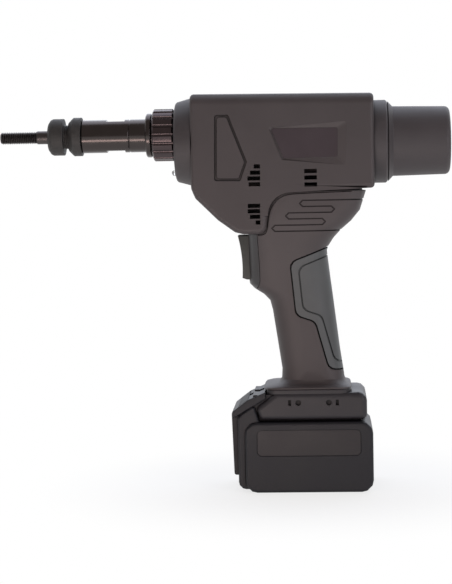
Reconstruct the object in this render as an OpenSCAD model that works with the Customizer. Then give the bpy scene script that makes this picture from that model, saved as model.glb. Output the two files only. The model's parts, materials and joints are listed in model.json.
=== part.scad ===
// Cordless rivet nut tool on a slide-on battery pack.
// Millimetres, Z up, nose towards -X. The origin is the centre of the battery's flat underside.

/* [Battery pack] */
// Length of the battery block
battery_len = 103.4; // [98:0.2:110]
// Width of the battery block
battery_w = 75; // [72:0.5:80]
// Height of the battery block
battery_h = 57.3; // [53:0.1:62]
// Corner radius of the block seen from the side
battery_corner_r = 9.5; // [7:0.5:11]
// Rounding of the block's side edges
battery_edge_r = 3; // [2:0.25:4]
// Wall of the battery mouldings
battery_wall = 2.4; // [2:0.1:3]
// Reach of the front layer ahead of the block
front_layer_len = 5.6; // [4.5:0.1:7]
// Reach of the apron ahead of the front layer
apron_len = 5.1; // [4:0.1:6]
// How much narrower than the block the front layer is on each side
front_layer_inset = 3.5; // [3:0.25:5]
// How much narrower than the block the apron is on each side
apron_inset = 10; // [8:0.5:13]
// Height of the apron's lower edge
apron_lift = 13.5; // [10:0.5:16]
// Height of the front layer's lower edge
layer_lift = 2.5; // [1.5:0.25:5]
// Lean of the apron's front
apron_lean = 1.4; // [1:0.1:2.2]
// Length of the label recess
label_len = 84; // [76:0.5:88]
// Height of the label recess
label_h = 21.5; // [16:0.5:24]
// Height of the label recess above the underside
label_lift = 29.8; // [26:0.2:31]
// Corner radius of the label recess
label_corner_r = 4; // [2:0.5:6]
// Depth of the label recess
label_depth = 0.8; // [0.4:0.1:1.2]
// Diameter of a cell
cell_d = 18.4; // [17.6:0.1:18.6]
// Number of cells in the row
cell_count = 5; // [4:1:5]
// Travel of the release button
release_travel = 5; // [3.5:0.25:5.5]
// Length of the release button
release_len = 7.6; // [7:0.2:9]

/* [Battery dock] */
// Gap between the battery block and the dock
dock_gap = 1.4; // [1:0.1:2]
// Height of the dock's side walls
dock_h = 22.2; // [20:0.2:24]
// Height of the plinth between dock and foot
dock_neck_h = 2.6; // [2:0.1:5]
// How much narrower than the battery the dock is on each side
dock_inset = 2.3; // [1.8:0.1:3]
// How much narrower than the dock its plinth is on each side
dock_neck_inset = 1.2; // [0.8:0.1:3]
// Side wall of the dock
dock_wall = 4.6; // [4.2:0.1:5.2]
// Width of the rail lip on each side
rail_lip = 4.2; // [3.4:0.1:5]
// Height of the rail lips
rail_lip_h = 5.6; // [4.6:0.1:6.2]
// Diameter of the belt hook holes
hook_hole_d = 4.7; // [4:0.1:5.2]
// Spacing of the belt hook holes
hook_spacing = 24.6; // [22:0.2:28]
// Height of the belt hook holes above the dock's lower edge
hook_lift = 14.1; // [12:0.1:15]
// Depth of the belt hook holes
hook_depth = 3.4; // [2.6:0.1:3.6]
// Distance from a hook hole to its locating slot
hook_slot_reach = 6.9; // [6:0.1:8]
// Width of a locating slot
hook_slot_w = 2.4; // [1.8:0.1:3]

/* [Handle] */
// Height from the foot to the underside of the body
handle_h = 161; // [150:0.5:172]
// Depth of the grip, front to back, at its middle
grip_depth = 49.4; // [46:0.2:53]
// Width of the grip
grip_w = 43; // [40:0.5:47]
// Width of the foot
foot_w = 68; // [64:0.5:72]
// Step from the body's side down to the wing
wing_step = 1.5; // [1:0.1:2]
// Thickness of the soft grip pads
pad_t = 2; // [1.6:0.1:2.4]
// Width of the pads' raised border
pad_band_w = 6.3; // [5:0.1:7.5]
// Width of the moulded lines
line_w = 1.2; // [0.9:0.1:1.6]
// Depth of the moulded lines
line_depth = 0.9; // [0.6:0.1:1.2]
// Spacing of the wing's line rows
row_pitch = 4.9; // [4.4:0.1:5.2]

/* [Body] */
// Distance from the origin forward to the body's front face
body_front = 91.2; // [88:0.2:95]
// Length of the body
body_len = 146.7; // [143.5:0.2:153.5]
// Width of the body
body_w = 74; // [72.5:0.5:78]
// Height of the body's straight part
body_h = 78; // [76:0.5:82]
// Drop of the body's lower front bulge
bulge_h = 35.5; // [33:0.5:38]
// Rounding of the body's long top edges
body_top_r = 9; // [7:0.5:12]
// Rounding of the body's long lower edges
body_low_r = 4; // [3.5:0.25:5]
// Rounding of the body's end faces
body_end_r = 3; // [1.5:0.25:3.5]
// Wall of the housing
wall = 2.8; // [2.4:0.1:3]
// Drop of the motor axis below the body's top
axis_drop = 40.7; // [39.7:0.1:42]
// Height of a vent slot
vent_h = 3.3; // [2.6:0.1:3.6]
// Depth of the side panels' recesses
panel_depth = 1.4; // [0.8:0.1:1.8]

/* [Nose] */
// Rise of the nose axis above the motor axis
nose_rise = 8.6; // [8.4:0.1:9]
// Diameter of the mandrel's thread
thread_d = 10; // [8:0.5:10.5]
// Length of the mandrel's thread
thread_len = 30; // [24:0.5:36]
// Diameter of the mandrel's shank
shank_d = 10.8; // [10.6:0.1:11.4]
// Shank showing between thread and nosepiece
shank_reach = 10; // [8:0.2:14]
// Diameter of the nosepiece
nosepiece_d = 30; // [27:0.1:33]
// Length of the nosepiece's head
nosepiece_len = 12.8; // [10:0.2:15]
// Chamfer of the nosepiece and the jam nut
nose_chamfer = 4; // [2.5:0.25:4.5]
// Diameter of the nosepiece's stem
stem_d = 18.8; // [17.8:0.1:19.2]
// Stem showing between nosepiece and jam nut
stem_show = 4; // [3:0.2:6]
// Stem inside the sleeve
stem_len = 12; // [10:0.5:14]
// Diameter of the jam nut
jam_d = 31.5; // [28:0.1:33]
// Length of the jam nut
jam_len = 10.9; // [8.5:0.1:12]
// Diameter of the nose sleeve
sleeve_d = 27; // [25:0.1:27.4]
// Length of the sleeve ahead of the collar
sleeve_len = 53; // [48:0.5:58]
// Length of the sleeve's spanner flats
flat_len = 15; // [11:0.5:18]
// Depth of the spanner flats
flat_depth = 1.6; // [1:0.1:1.8]
// Diameter of the collar ring
collar_d = 36; // [33:0.2:38]
// Length of the collar ring
collar_len = 5; // [5:0.2:7]
// Diameter of the stroke ring
ring_d = 42.6; // [40:0.2:45]
// Length of the stroke ring
ring_len = 17; // [13:0.2:18]
// Number of flutes around the stroke ring
flute_count = 18; // [12:1:22]
// Diameter of the boss inside the stroke ring
boss_d = 33; // [31:0.2:34]
// Diameter of the front case's round end
cap_d = 72.2; // [70:0.2:73.4]
// Length of the front case's round end
cap_len = 14; // [12:0.25:15]
// Rise of the front case's round end above the motor axis
cap_rise = 2.5; // [1.5:0.1:3]
// Diameter of the work light
light_d = 5; // [4:0.1:5.4]
// Height of the work light below the motor axis
light_drop = 22.4; // [21.6:0.2:24]

/* [Rear] */
// Diameter of the collar behind the body
rear_collar_d = 67.2; // [66.2:0.2:67.6]
// Length of the collar behind the body
rear_collar_len = 11.4; // [10:0.2:13]
// Length of the rear cap
rear_cap_len = 49.8; // [47:0.2:54]
// Diameter of the rear cap's front edge
rear_rim_d = 64.8; // [62:0.2:66]
// Diameter of the rear cap's barrel at its front
barrel_d = 56.6; // [55.2:0.2:58]
// Taper of the barrel's diameter over its length
barrel_taper = 1.6; // [1.5:0.1:3]
// Length of the cone between rim and barrel
barrel_cone_len = 3.8; // [3:0.1:6]
// Rounding of the rear cap's end
rear_end_r = 4; // [2.5:0.25:5]

/* [Drive] */
// Diameter of the ball screw
screw_d = 16; // [14:0.2:16.4]
// Pull stroke of the mandrel
stroke = 7; // [5:0.25:7.5]
// Length of the ball nut
nut_len = 44; // [40:0.5:45]
// Diameter of the ball nut
nut_d = 31.6; // [30.6:0.2:32]
// Outer diameter of the nut's bearings
nut_bearing_d = 39.8; // [38.6:0.2:40]
// Length of the thrust bearing
thrust_len = 9.8; // [8:0.2:10]
// Width of the drive gear's teeth
drive_w = 16; // [14:0.5:17]
// Teeth of the internal drive gear
drive_teeth = 36; // [36:1:36]
// Teeth of the output pinion
pinion_teeth = 18; // [18:1:18]
// Thickness of the gear plate
plate_len = 6; // [5.5:0.25:7]
// Tooth module of the planet stage
planet_module = 0.9; // [0.85:0.01:0.92]
// Teeth of the sun gear and of each planet
planet_teeth = 18; // [18:1:18]
// Width of the planet gears
planet_w = 9; // [7:0.25:9.5]
// Outer diameter of the gear section of the case
case_d = 66.8; // [65.8:0.2:67]
// Diameter of the motor can
motor_d = 46; // [44:0.5:46.5]
// Diameter of the motor shaft
motor_shaft_d = 5; // [4:0.1:5.4]

/* [Trigger] */
// Height of the trigger
trigger_h = 36.2; // [33:0.2:37]
// Reach of the trigger's upper corner ahead of the handle
trigger_reach = 8.9; // [7.4:0.1:9.5]
// Lean of the trigger's face
trigger_lean = 3.3; // [2:0.1:4]
// Width of the trigger
trigger_w = 21; // [18:0.25:22]
// Travel of the trigger
trigger_travel = 6; // [4:0.25:6.4]
// Gap between trigger and body
trigger_top_gap = 1.4; // [1.2:0.1:2]

/* [Fits] */
// Radial clearance of turning pieces
run_gap = 0.06; // [0.03:0.01:0.1]
// Clearance of pieces that slide in each other or stand in a seat
slide_gap = 0.15; // [0.1:0.01:0.25]
// Clearance between mouldings
part_gap = 0.35; // [0.3:0.05:0.5]
// Gap left at the seam between the housing halves
seam_gap = 0.16; // [0.1:0.02:0.3]

/* [Hidden] */
$fn = 64;
over = 1;
$arc_steps = 3;
$edge_steps = 3;
$ring_points = 32;
inner_steps = 1;
inner_points = 16;
post_sides = 10;
line_sides = 6;
room_sides = 32;
scoop_sides = 180;

body_front_x = -body_front;
body_rear_x = body_front_x + body_len;
dock_low_z = battery_h + dock_gap;
dock_top_z = dock_low_z + dock_h;
foot_z = dock_top_z + dock_neck_h;
body_low_z = foot_z + handle_h;
body_top_z = body_low_z + body_h;
bulge_low_z = body_low_z - bulge_h;
axis_z = body_top_z - axis_drop;
nose_z = axis_z + nose_rise;
body_half = body_w / 2;

// Stations up the handle: height, front reach, rear reach, blend to wing, blend to foot, squareness
handle_shares = [
    [0, 0.735, 0.705, 0, 1, 8], [0.007, 0.715, 0.702, 0, 0.98, 8], [0.013, 0.65, 0.688, 0, 0.86, 7],
    [0.017, 0.55, 0.655, 0, 0.6, 5.5], [0.023, 0.475, 0.625, 0, 0.34, 4.4],
    [0.04, 0.44, 0.6, 0, 0.14, 3.4], [0.09, 0.432, 0.58, 0, 0.05, 3], [0.177, 0.473, 0.537, 0, 0, 2.8],
    [0.388, 0.573, 0.455, 0.01, 0, 2.8], [0.438, 0.615, 0.435, 0.02, 0, 2.8],
    [0.469, 0.712, 0.423, 0.04, 0, 2.8], [0.5, 0.868, 0.411, 0.06, 0, 2.9],
    [0.525, 0.945, 0.4, 0.08, 0, 2.9], [0.55, 0.957, 0.39, 0.11, 0, 3], [0.686, 0.957, 0.339, 0.36, 0, 3.3],
    [0.708, 0.957, 0.36, 0.42, 0, 3.4], [0.751, 0.957, 0.45, 0.55, 0, 3.8],
    [0.792, 0.95, 0.572, 0.7, 0, 4.2],
    [0.837, 0.89, 0.743, 0.82, 0, 4.8], [0.891, 0.81, 0.888, 0.92, 0, 5.4], [0.988, 0.69, 0.99, 1, 0, 6],
    [0.99, 0.66, 0.93, 0.88, 0, 6], [1.04, 0.66, 0.93, 0.88, 0, 6]
];

// Lower front bulge: share of the front reach, share of the drop
bulge_shares = [[1, 1.4], [1, 1.05], [0.9647, 0.83], [0.7689, 0.331], [0.6192, 0.05], [0.5454, 0.004],
    [0.3947, 0], [0.3455, 0.11], [0.3291, 0.48], [0.3076, 1.4]];
bulge_edge_r = body_low_r;

// Soft pad: share of the grip depth behind the origin, share of the handle height
pad_shares = [[0.9, 0.7735], [-0.28, 0.637], [-0.196, 0.362], [0.12, 0.329], [0.335, 0.088], [0.9, 0.077]];
pad_corner_r = 7;

// Bezel around the trigger: share of the bezel depth behind the handle's front, share of its height
bezel_shares = [
    [-2, 0], [0.45, 0], [0.96, 0.09], [1.12, 0.19], [1.08, 0.5], [0.94, 1], [-2, 1]
];
bezel_depth = 8.4;
bezel_h = 47;

// Wing lines: left end of the first row, its shift a turn, right end of the first turn, its shift
wing_left_share = -0.042;
wing_left_shift_share = -0.228;
wing_right_share = 0.42;
wing_right_shift_share = -0.15;
wing_top_drop = 9;
wing_rows = 6;

// Side panel ahead of the vents and label recess: share of the body front reach, share of the body height
panel_shares = [[-0.7945, 0.097], [-0.5639, 0.092], [-0.5024, 0.287], [-0.6613, 0.774], [-0.7833, 0.772]];
recess_shares = [[-0.2009, 0.3], [0.3568, 0.237], [0.3711, 0.683], [-0.3178, 0.645]];
recess_floor_shares = [[-0.1866, 0.312], [0.2922, 0.318], [0.2963, 0.624], [-0.2973, 0.628]];
panel_corner_r = 2;

// Vent groups: right end and left ends as shares of the body front reach, heights as shares of the body
// height
vent_a_right_share = -0.3896;
vent_a_shares = [[-0.4449, 0.24], [-0.4778, 0.177], [-0.5024, 0.118], [-0.4921, 0.058]];
vent_b_right_share = -0.3947;
vent_b_shares = [[-0.5024, -0.162], [-0.5044, -0.217], [-0.4849, -0.274], [-0.4357, -0.333]];
vent_c_right_share = 0.1056;
vent_c_shares = [[-0.0041, 0.183], [-0.0041, 0.117], [-0.0041, 0.046]];

// Housing screws, all by share of the body front reach: in the body by share of its height, in the bulge
// by share of its drop and in the handle by share of its height
body_screw_shares = [[-0.6766, 0.9165], [0.4101, 0.9165], [0.3947, -0.066]];
bulge_screw_shares = [[-0.8919, 0.989], [-0.5741, 0.255]];
handle_screw_shares = [[0.0769, 0.616], [-0.1333, 0.379], [0.1025, 0.077]];
screw_d_main = 3;
screw_head_d = 5.6;
screw_head_h = 2.4;
screw_seat_y = 12;
screw_len = 20;
screw_boss_d = 6.6;
screw_well_d = 9.4;

// Battery cover's slope, lower tower and dock front: shares of the front reach, heights above the block
slope_h = 24.2;
slope_mid_h = 18;
slope_front_h = 8.2;
slope_t = 5.5;
slope_r = 3;
dock_setback = 9.3;
dock_rear_setback = 4.6;
dock_front_x = dock_setback - battery_len / 2;
dock_rear_x = battery_len / 2 - dock_rear_setback;
dock_edge_r = 4;
dock_half = battery_w / 2 - dock_inset;
dock_roof_drop = 1.6;
dock_roof_z = dock_top_z - dock_roof_drop;
dock_back_wall = 4.6;
channel_half = dock_half - dock_wall;
rail_low_z = dock_low_z + rail_lip_h;
rail_neck_half = channel_half - rail_lip;

apron_front_x = -battery_len / 2 - front_layer_len - apron_len;
layer_front_x = -battery_len / 2 - front_layer_len;
layer_half = battery_w / 2 - front_layer_inset;
apron_half = battery_w / 2 - apron_inset;

cap_front_x = body_front_x - cap_len;
ring_gap = 1.2;
ring_rear_x = cap_front_x - ring_gap;
ring_front_x = ring_rear_x - ring_len;
collar_gap = 1;
collar_rear_x = ring_front_x - collar_gap;
collar_front_x = collar_rear_x - collar_len;
sleeve_front_x = collar_front_x - sleeve_len;
jam_front_x = sleeve_front_x - jam_len;
nosepiece_rear_x = jam_front_x - stem_show;
nosepiece_front_x = nosepiece_rear_x - nosepiece_len;
shank_front_x = nosepiece_front_x - shank_reach;
tip_x = shank_front_x - thread_len;
stem_rear_x = sleeve_front_x + stem_len;
sleeve_r = sleeve_d / 2;
stem_r = stem_d / 2;
sleeve_bore_r = stem_r + run_gap;
sleeve_tail = 1.7;
boss_len = 14.8;

spigot_len = 7.5;
spigot_r = 30.4;
case_r = case_d / 2;
case_wall = 2.5;
chamber_setback = 2.2;
chamber_x = body_front_x + chamber_setback;
chamber_r = nut_bearing_d / 2 + slide_gap;
nut_tube_r = chamber_r + case_wall;
thrust_rear_x = chamber_x + slide_gap + thrust_len;
nut_front_x = thrust_rear_x + slide_gap;
nut_rear_x = nut_front_x + nut_len;
nut_r = nut_d / 2;
nut_tail_r = 11;
nut_tail_len = 6;
web_t = 3;
teeth_x = nut_rear_x + nut_tail_len;
drive_rear_x = teeth_x + drive_w;
drive_gap = 1.2;
bell_x = teeth_x - web_t - drive_gap;
plate_x = drive_rear_x + drive_gap;
plate_rear_x = plate_x + plate_len;
drive_module = 2 * nose_rise / (drive_teeth - pinion_teeth);
drive_pitch_r = drive_teeth * drive_module / 2;
drive_rim = 2.4;
root_share = 1.2;
tip_share = 0.8;
drive_r = drive_pitch_r + root_share * drive_module + drive_rim;
backlash = 0.26;
pressure_angle = 20;

carrier_gap = 0.9;
carrier_t = 4;
carrier_x = plate_rear_x + carrier_gap;
planet_gap = 0.6;
planet_x = carrier_x + carrier_t + planet_gap;
planet_orbit = planet_teeth * planet_module;
planet_ring_teeth = 3 * planet_teeth;
planet_count = 3;
pin_r = 2.2;
pin_margin = 1;
carrier_r = planet_orbit + pin_r + pin_margin;
carrier_shaft_r = 5;
ring_rim = 3.4;
ring_gear_r = planet_ring_teeth * planet_module / 2 + root_share * planet_module + ring_rim;
motor_web_x = planet_x + planet_w + carrier_gap;
motor_web_t = 8;
can_x = motor_web_x + motor_web_t + slide_gap;
output_bearing_r = 11;
bearing_t = 5;

rear_collar_r = rear_collar_d / 2;
collar_end_x = body_rear_x + rear_collar_len;
rear_seam = 0.5;
rear_cap_x = collar_end_x + rear_seam;
rear_end_x = rear_cap_x + rear_cap_len;
cap_wall = 3;
motor_r = motor_d / 2;
motor_wall = 1.2;
motor_shaft_r = motor_shaft_d / 2;
motor_seat_r = motor_r + slide_gap;
spigot_rear_r = motor_seat_r + case_wall;
spigot_rear_len = 7;
fan_len = 9;
fan_room = 4;
fan_rear_x = rear_end_x - cap_wall - fan_room;
fan_x = fan_rear_x - fan_len;
bell_rear_x = fan_x - carrier_gap;
bell_t = 5;
can_rear_x = bell_rear_x - bell_t;
motor_bearing_r = 6.5;

trigger_top_z = bulge_low_z - trigger_top_gap;
trigger_low_z = trigger_top_z - trigger_h;
trigger_z = trigger_low_z + trigger_h / 2;
handle_front_x = -handle_shares[14][1] * grip_depth;
trigger_tip_x = handle_front_x - trigger_reach;
trigger_half = trigger_w / 2;
switch_reach = 18.4;
switch_x = handle_front_x + switch_reach;
switch_len = 21;
switch_h = 28;
switch_half = 9.5;

reach = body_len + body_h + handle_h;
fillet_r = 18.5;
fillet_sag = 2.4;
rim_end = 6;
top_drops = [0.6, 2.3];
rib_t = 2.4;
rib_shares = [-0.6766, -0.205, 0.3076];
baffle_shares = [[-0.6666, -0.405, -0.44, 0.26], [-0.195, 0.3176, -0.1, 0.08]];
panel_line_w = 2.2;
wing_edge_share = 1.05;
wire_x = 2;
wire_len = 14;
wire_half = 8;

board_x = -14;
board_len = 38;
board_h = 24;
board_t = 1.6;
board_chip_h = 5;
board_lift = 3;
board_z = bulge_low_z + board_lift;
dock_screw_xs = [-14.5, 26];
dock_screw_y = 18;
foot_post_h = 8;

bezel_top_z = bulge_low_z - slide_gap;
trigger_root = 3;
trigger_toe = 1.4;
trigger_toe_len = 4;
trigger_edge_r = 0.9;
trigger_scoop_r = 110;
trigger_scoop = 1.9;
trigger_stem_half = 6;
plunger_r = 2.4;
plunger_depth = 3;

cap_taper = 3;
cap_edge = 3.2;
light_seat = 10;
light_reach = 4.2;
case_screw_len = 10;
case_screw_angle = 60;
case_screw_orbit = 27.5;
rear_edge = 1.4;
web_rear_x = motor_web_x + motor_web_t;
collar_inside = 6;
collar_in_x = body_rear_x - collar_inside;
sleeve_line_x = 13.6;
flat_setback = 17.5;
sleeve_edge = 0.8;
ring_edge = 1;
flute_r = 1.7;
flute_lift = 0.7;
thread_chamfer = 1.2;

coupling_gap = 2;
coupling_x = stem_rear_x + coupling_gap;
coupling_len = 40;
coupling_rear_x = coupling_x + coupling_len;
coupling_bore = 16;
coupling_r = stem_r - slide_gap;
swivel_neck_r = 4;
swivel_head_r = 6;
swivel_neck = 4;
swivel_head = 5;
pinion_x = teeth_x + 2 * carrier_gap;
screw_rear_x = pinion_x - stroke - 2 * carrier_gap;
nut_bearing_len = 24;

magnet_angle = 130;
magnet_t = 2.4;
stack_x = can_x + 2 * bearing_t;
commutator_len = 14;
commutator_r = 7;
brush_rear_x = can_rear_x - carrier_gap;
stack_rear_x = brush_rear_x - commutator_len;
fan_hub_r = 8;
fan_blades = 9;
fan_blade_t = 1.4;

dock_slant = 3.4;
dock_front_h = 9.9;
dock_top_setback = 16.4;
dock_rear_r = 7;
dock_neck_front = 8.9;
dock_neck_rear = 12.1;
dock_neck_r = 8;
hook_offset = 4.1;
term_len = 7.4;
term_half = 14;
term_lift = 2;
term_x = dock_rear_x - dock_back_wall - slide_gap - term_len;
blade_len = 14;
blade_t = 0.8;
blade_h = 6.5;
blade_ys = [-9, 0, 9];
blade_lift = 1.8;
blade_z = rail_low_z + term_lift + blade_lift;
leaf_t = 0.5;
leaf_len = 6;
leaf_base = 1;

slope_edge = 0.3;
slope_top_reach = 7.9;
slope_x0 = apron_front_x + slope_edge;
slope_x1 = dock_front_x + slope_top_reach;
cover_edge_r = 0.8;
rail_reach = 2.4;
layer_corner_r = 6;
tower_front_h = 4.2;
tower_r = 4.5;
cover_z = battery_h + slide_gap;
rail_head_low_z = rail_low_z + part_gap;
rail_head_top_z = dock_roof_z - part_gap;
rail_rear_x = dock_rear_x - dock_back_wall - part_gap;
rail_front_x = dock_front_x - rail_reach;

release_setback = 5.6;
release_arm_len = 36;
spring_setback = 20;
release_x = slope_x0 + release_setback;
release_rear_x = release_x + release_len;
release_half = dock_half - 2 * rib_t;
release_low_z = cover_z + release_travel + part_gap;
release_arm_half = 6;
release_arm_t = 3;
release_arm_z = rail_head_low_z + release_travel + 2 * part_gap;
release_arm_rear_x = release_rear_x + release_arm_len;
release_tooth_len = 4;
release_proud = 0.3;
spring_r = 3;
spring_wire = 0.8;
spring_x = release_rear_x + spring_setback;

cell_pitch = cell_d + part_gap;
cell_r = cell_d / 2;
cell_end_gap = 2.6;
cell_len = battery_w - 2 * (battery_wall + cell_end_gap);
holder_floor = 1.5;
cell_z = battery_wall + holder_floor + cell_r + part_gap;
holder_ys = [-20, 20];
holder_t = 4;
holder_top_z = cell_z + cell_r + holder_floor;

// Direction out of the edge from a to b of an outline listed anticlockwise
function edge_out(a, b) = [b.y - a.y, a.x - b.x] / norm(b - a);

// Points of an outline with its corners rounded by the radii and its edges moved in by inset
function soft_outline(points, radii, inset) = [
    for (i = [0:len(points) - 1])
        let (p = points[i], a = points[(i + len(points) - 1) % len(points)],
            b = points[(i + 1) % len(points)])
        let (m = edge_out(a, p), n = edge_out(p, b), c = p - radii[i] * (m + n) / (1 + m * n))
        for (k = [0:$arc_steps])
            let (d = m + (n - m) * k / $arc_steps)
            c + (radii[i] - inset) * d / norm(d)
];

// Same radius for every corner
function even(points, r) = [for (p = points) r];

// Rectangle listed anticlockwise
function rectangle(x0, x1, y0, y1) = [[x0, y0], [x1, y0], [x1, y1], [x0, y1]];

// Rounded outline drawn in X and Y, extruded along Z with rounded rims
module soft_solid(points, radii, z0, z1, rim_r) {
    layers = [
        for (k = [0:$edge_steps]) [z0 + rim_r * (1 - cos(90 * k / $edge_steps)),
            rim_r * (1 - sin(90 * k / $edge_steps))],
        for (k = [0:$edge_steps]) [z1 - rim_r * (1 - cos(90 * k / $edge_steps)),
            rim_r * (1 - sin(90 * k / $edge_steps))]
    ];
    size = len(points) * ($arc_steps + 1);
    corners = [for (l = layers, p = soft_outline(points, radii, l[1])) [p.x, p.y, l[0]]];
    hull() polyhedron(corners, [for (j = [0:len(layers) - 1]) [for (i = [0:size - 1]) j * size + i]]);
}

// Rounded outline drawn in X and Z, centred across Y
module side_solid(points, radii, half, rim_r) {
    rotate([90, 0, 0]) soft_solid(points, radii, -half, half, rim_r);
}

// Flat outline drawn in X and Z, extruded from y0 to y1
module side_prism(y0, y1) {
    translate([0, y1, 0]) rotate([90, 0, 0]) linear_extrude(y1 - y0) children();
}

// Box between two corners
module box(low, high) {
    translate(low) cube(high - low);
}

// Turned piece about an axis along X: points are radius, distance along X
module turned(points, z) {
    translate([0, 0, z]) rotate([0, 90, 0]) rotate_extrude() polygon(points);
}

// Tube about an axis along X
module tube(x0, x1, outer_r, inner_r, z) {
    turned([[inner_r, x0], [outer_r, x0], [outer_r, x1], [inner_r, x1]], z);
}

// Rod about an axis along X
module rod(x0, x1, r, z) {
    translate([x0, 0, z]) rotate([0, 90, 0]) cylinder(h = x1 - x0, r = r);
}

// Flat shape extruded along X, its own X axis turned downwards
module along_x(x0, x1, z) {
    translate([x0, 0, z]) rotate([0, 90, 0]) linear_extrude(x1 - x0) children();
}

function involute(angle) = tan(angle) * 180 / PI - angle;

// Half angle of a tooth at radius r
function tooth_angle(r, teeth, pitch_r, slack) =
    90 / teeth - slack * 90 / (PI * pitch_r) + involute(pressure_angle)
        - involute(acos(min(1, pitch_r * cos(pressure_angle) / r)));

// Outline of a gear with a tooth on its own X axis
function gear_points(teeth, size, tip, root, slack) =
    let (pitch_r = teeth * size / 2, low = pitch_r - root * size, high = pitch_r + tip * size)
    let (mid = (low + high) / 2, radii = [low, mid, high])
    [
        for (i = [0:teeth - 1]) each concat(
            [for (r = radii) let (a = i * 360 / teeth - tooth_angle(r, teeth, pitch_r,
            slack)) r * [cos(a), sin(a)]],
            [
                for (k = [2:-1:0])
                    let (r = radii[k], a = i * 360 / teeth + tooth_angle(r, teeth, pitch_r, slack))
                        r * [cos(a), sin(a)]
            ]
        )
    ];

module outer_gear(teeth, size) {
    polygon(gear_points(teeth, size, tip_share, root_share, backlash));
}

module inner_gear(teeth, size) {
    polygon(gear_points(teeth, size, root_share, tip_share, -backlash));
}

// One station of the handle moved in by inset
function handle_ring(i, inset) =
    let (s = handle_shares[i], front = -s[1] * grip_depth + inset, rear = s[2] * grip_depth - inset)
    let (wing = body_half - wing_step - grip_w / 2, foot = foot_w / 2 - grip_w / 2)
    let (half = grip_w / 2 + s[3] * wing + s[4] * foot - inset, depth = (rear - front) / 2)
    [
        for (k = [0:$ring_points - 1])
            let (a = 360 * (k + 0.5) / $ring_points, c = cos(a), d = sin(a), power = 2 / s[5])
            [
                (front + rear) / 2 + depth * sign(c) * pow(abs(c), power), half * sign(d) * pow(abs(d),
                    power),
                foot_z + s[0] * handle_h
            ]
    ];

module handle_form(inset) {
    ends = [[for (k = [0:$ring_points - 1]) k], [for (k = [0:$ring_points - 1]) $ring_points + k]];
    for (i = [0:len(handle_shares) - 2])
        hull() polyhedron(concat(handle_ring(i, inset), handle_ring(i + 1, inset)), ends);
}

// Outline with every edge moved in
function inset_outline(points, inset) = [
    for (i = [0:len(points) - 1])
        let (p = points[i], a = points[(i + len(points) - 1) % len(points)],
            b = points[(i + 1) % len(points)])
        let (m = edge_out(a, p), n = edge_out(p, b)) p - inset * (m + n) / (1 + m * n)
];

module body_form(inset) {
    half = body_half - inset;
    low_r = max(body_low_r - inset, body_end_r);
    top_r = body_top_r - inset;
    bulge = [for (s = bulge_shares) [-s[0] * body_front, bulge_low_z + s[1] * bulge_h]];
    ends = [body_front_x + inset, body_rear_x - inset - 2 * body_end_r];
    rotate([90, 0, 90]) hull() for (k = [0, 1])
        soft_solid(
            rectangle(-half, half, body_low_z + inset, body_top_z - inset - top_drops[k]),
            [low_r, low_r, top_r, top_r], ends[k], ends[k] + 2 * body_end_r, body_end_r
        );
    side_solid(inset_outline(bulge, inset), even(bulge, bulge_edge_r), half, bulge_edge_r);
}

// Fillet where the bulge's back meets the body's underside, and the rim that runs out from it
module bulge_fillet() {
    x = -bulge_shares[8][0] * body_front;
    z = body_low_z - fillet_sag - fillet_r;
    top = body_low_z + body_low_r;
    side_prism(-body_half, body_half) {
        difference() {
            translate([x - body_low_r, z]) square([fillet_r + body_low_r, top - z]);
            translate([x + fillet_r, z]) circle(fillet_r);
        }
        polygon([[x + fillet_r - over, z + fillet_r], [body_rear_x - rim_end, body_low_z],
            [x + fillet_r - over, top]]);
    }
}

module housing_form(inset) {
    body_form(inset);
    handle_form(inset);
}

module cavity() {
    $arc_steps = inner_steps;
    $edge_steps = inner_steps;
    $ring_points = inner_points;
    body_form(wall);
    intersection() {
        handle_form(wall);
        box([-reach, -reach, foot_z + wall], [reach, reach, body_top_z]);
    }
}

// Everything on one side of the seam
module seam_side(side) {
    low = side < 0 ? -reach : seam_gap / 2;
    box([-reach, low, -reach], [reach, low + reach - seam_gap / 2, reach]);
}

// Room for the gear case and the motor case inside the housing
module case_room() {
    $fn = room_sides;
    rod(body_front_x - over, body_front_x + spigot_len + part_gap, spigot_r + part_gap, axis_z);
    rod(body_front_x, bell_x + over, nut_tube_r + part_gap, nose_z);
    rod(bell_x - case_wall - part_gap, web_rear_x + part_gap, case_r + part_gap, axis_z);
    rod(web_rear_x, collar_in_x, spigot_rear_r + part_gap, axis_z);
    rod(collar_in_x - part_gap, body_rear_x + over, rear_collar_r + part_gap, axis_z);
}

screw_points = [
    for (s = body_screw_shares) [s[0] * body_front, body_low_z + s[1] * body_h],
    for (s = bulge_screw_shares) [s[0] * body_front, bulge_low_z + s[1] * bulge_h],
    for (s = handle_screw_shares) [s[0] * body_front, foot_z + s[1] * handle_h]
];

// Post for a housing screw, between two distances across
module screw_post(p, y0, y1, d) {
    side_prism(min(y0, y1), max(y0, y1)) translate(p) circle(d / 2, $fn = post_sides);
}

module foot_post(side, d, z0, z1) {
    for (x = dock_screw_xs)
        translate([x, side * dock_screw_y, z0]) cylinder(h = z1 - z0, r = d / 2, $fn = post_sides);
}

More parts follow.
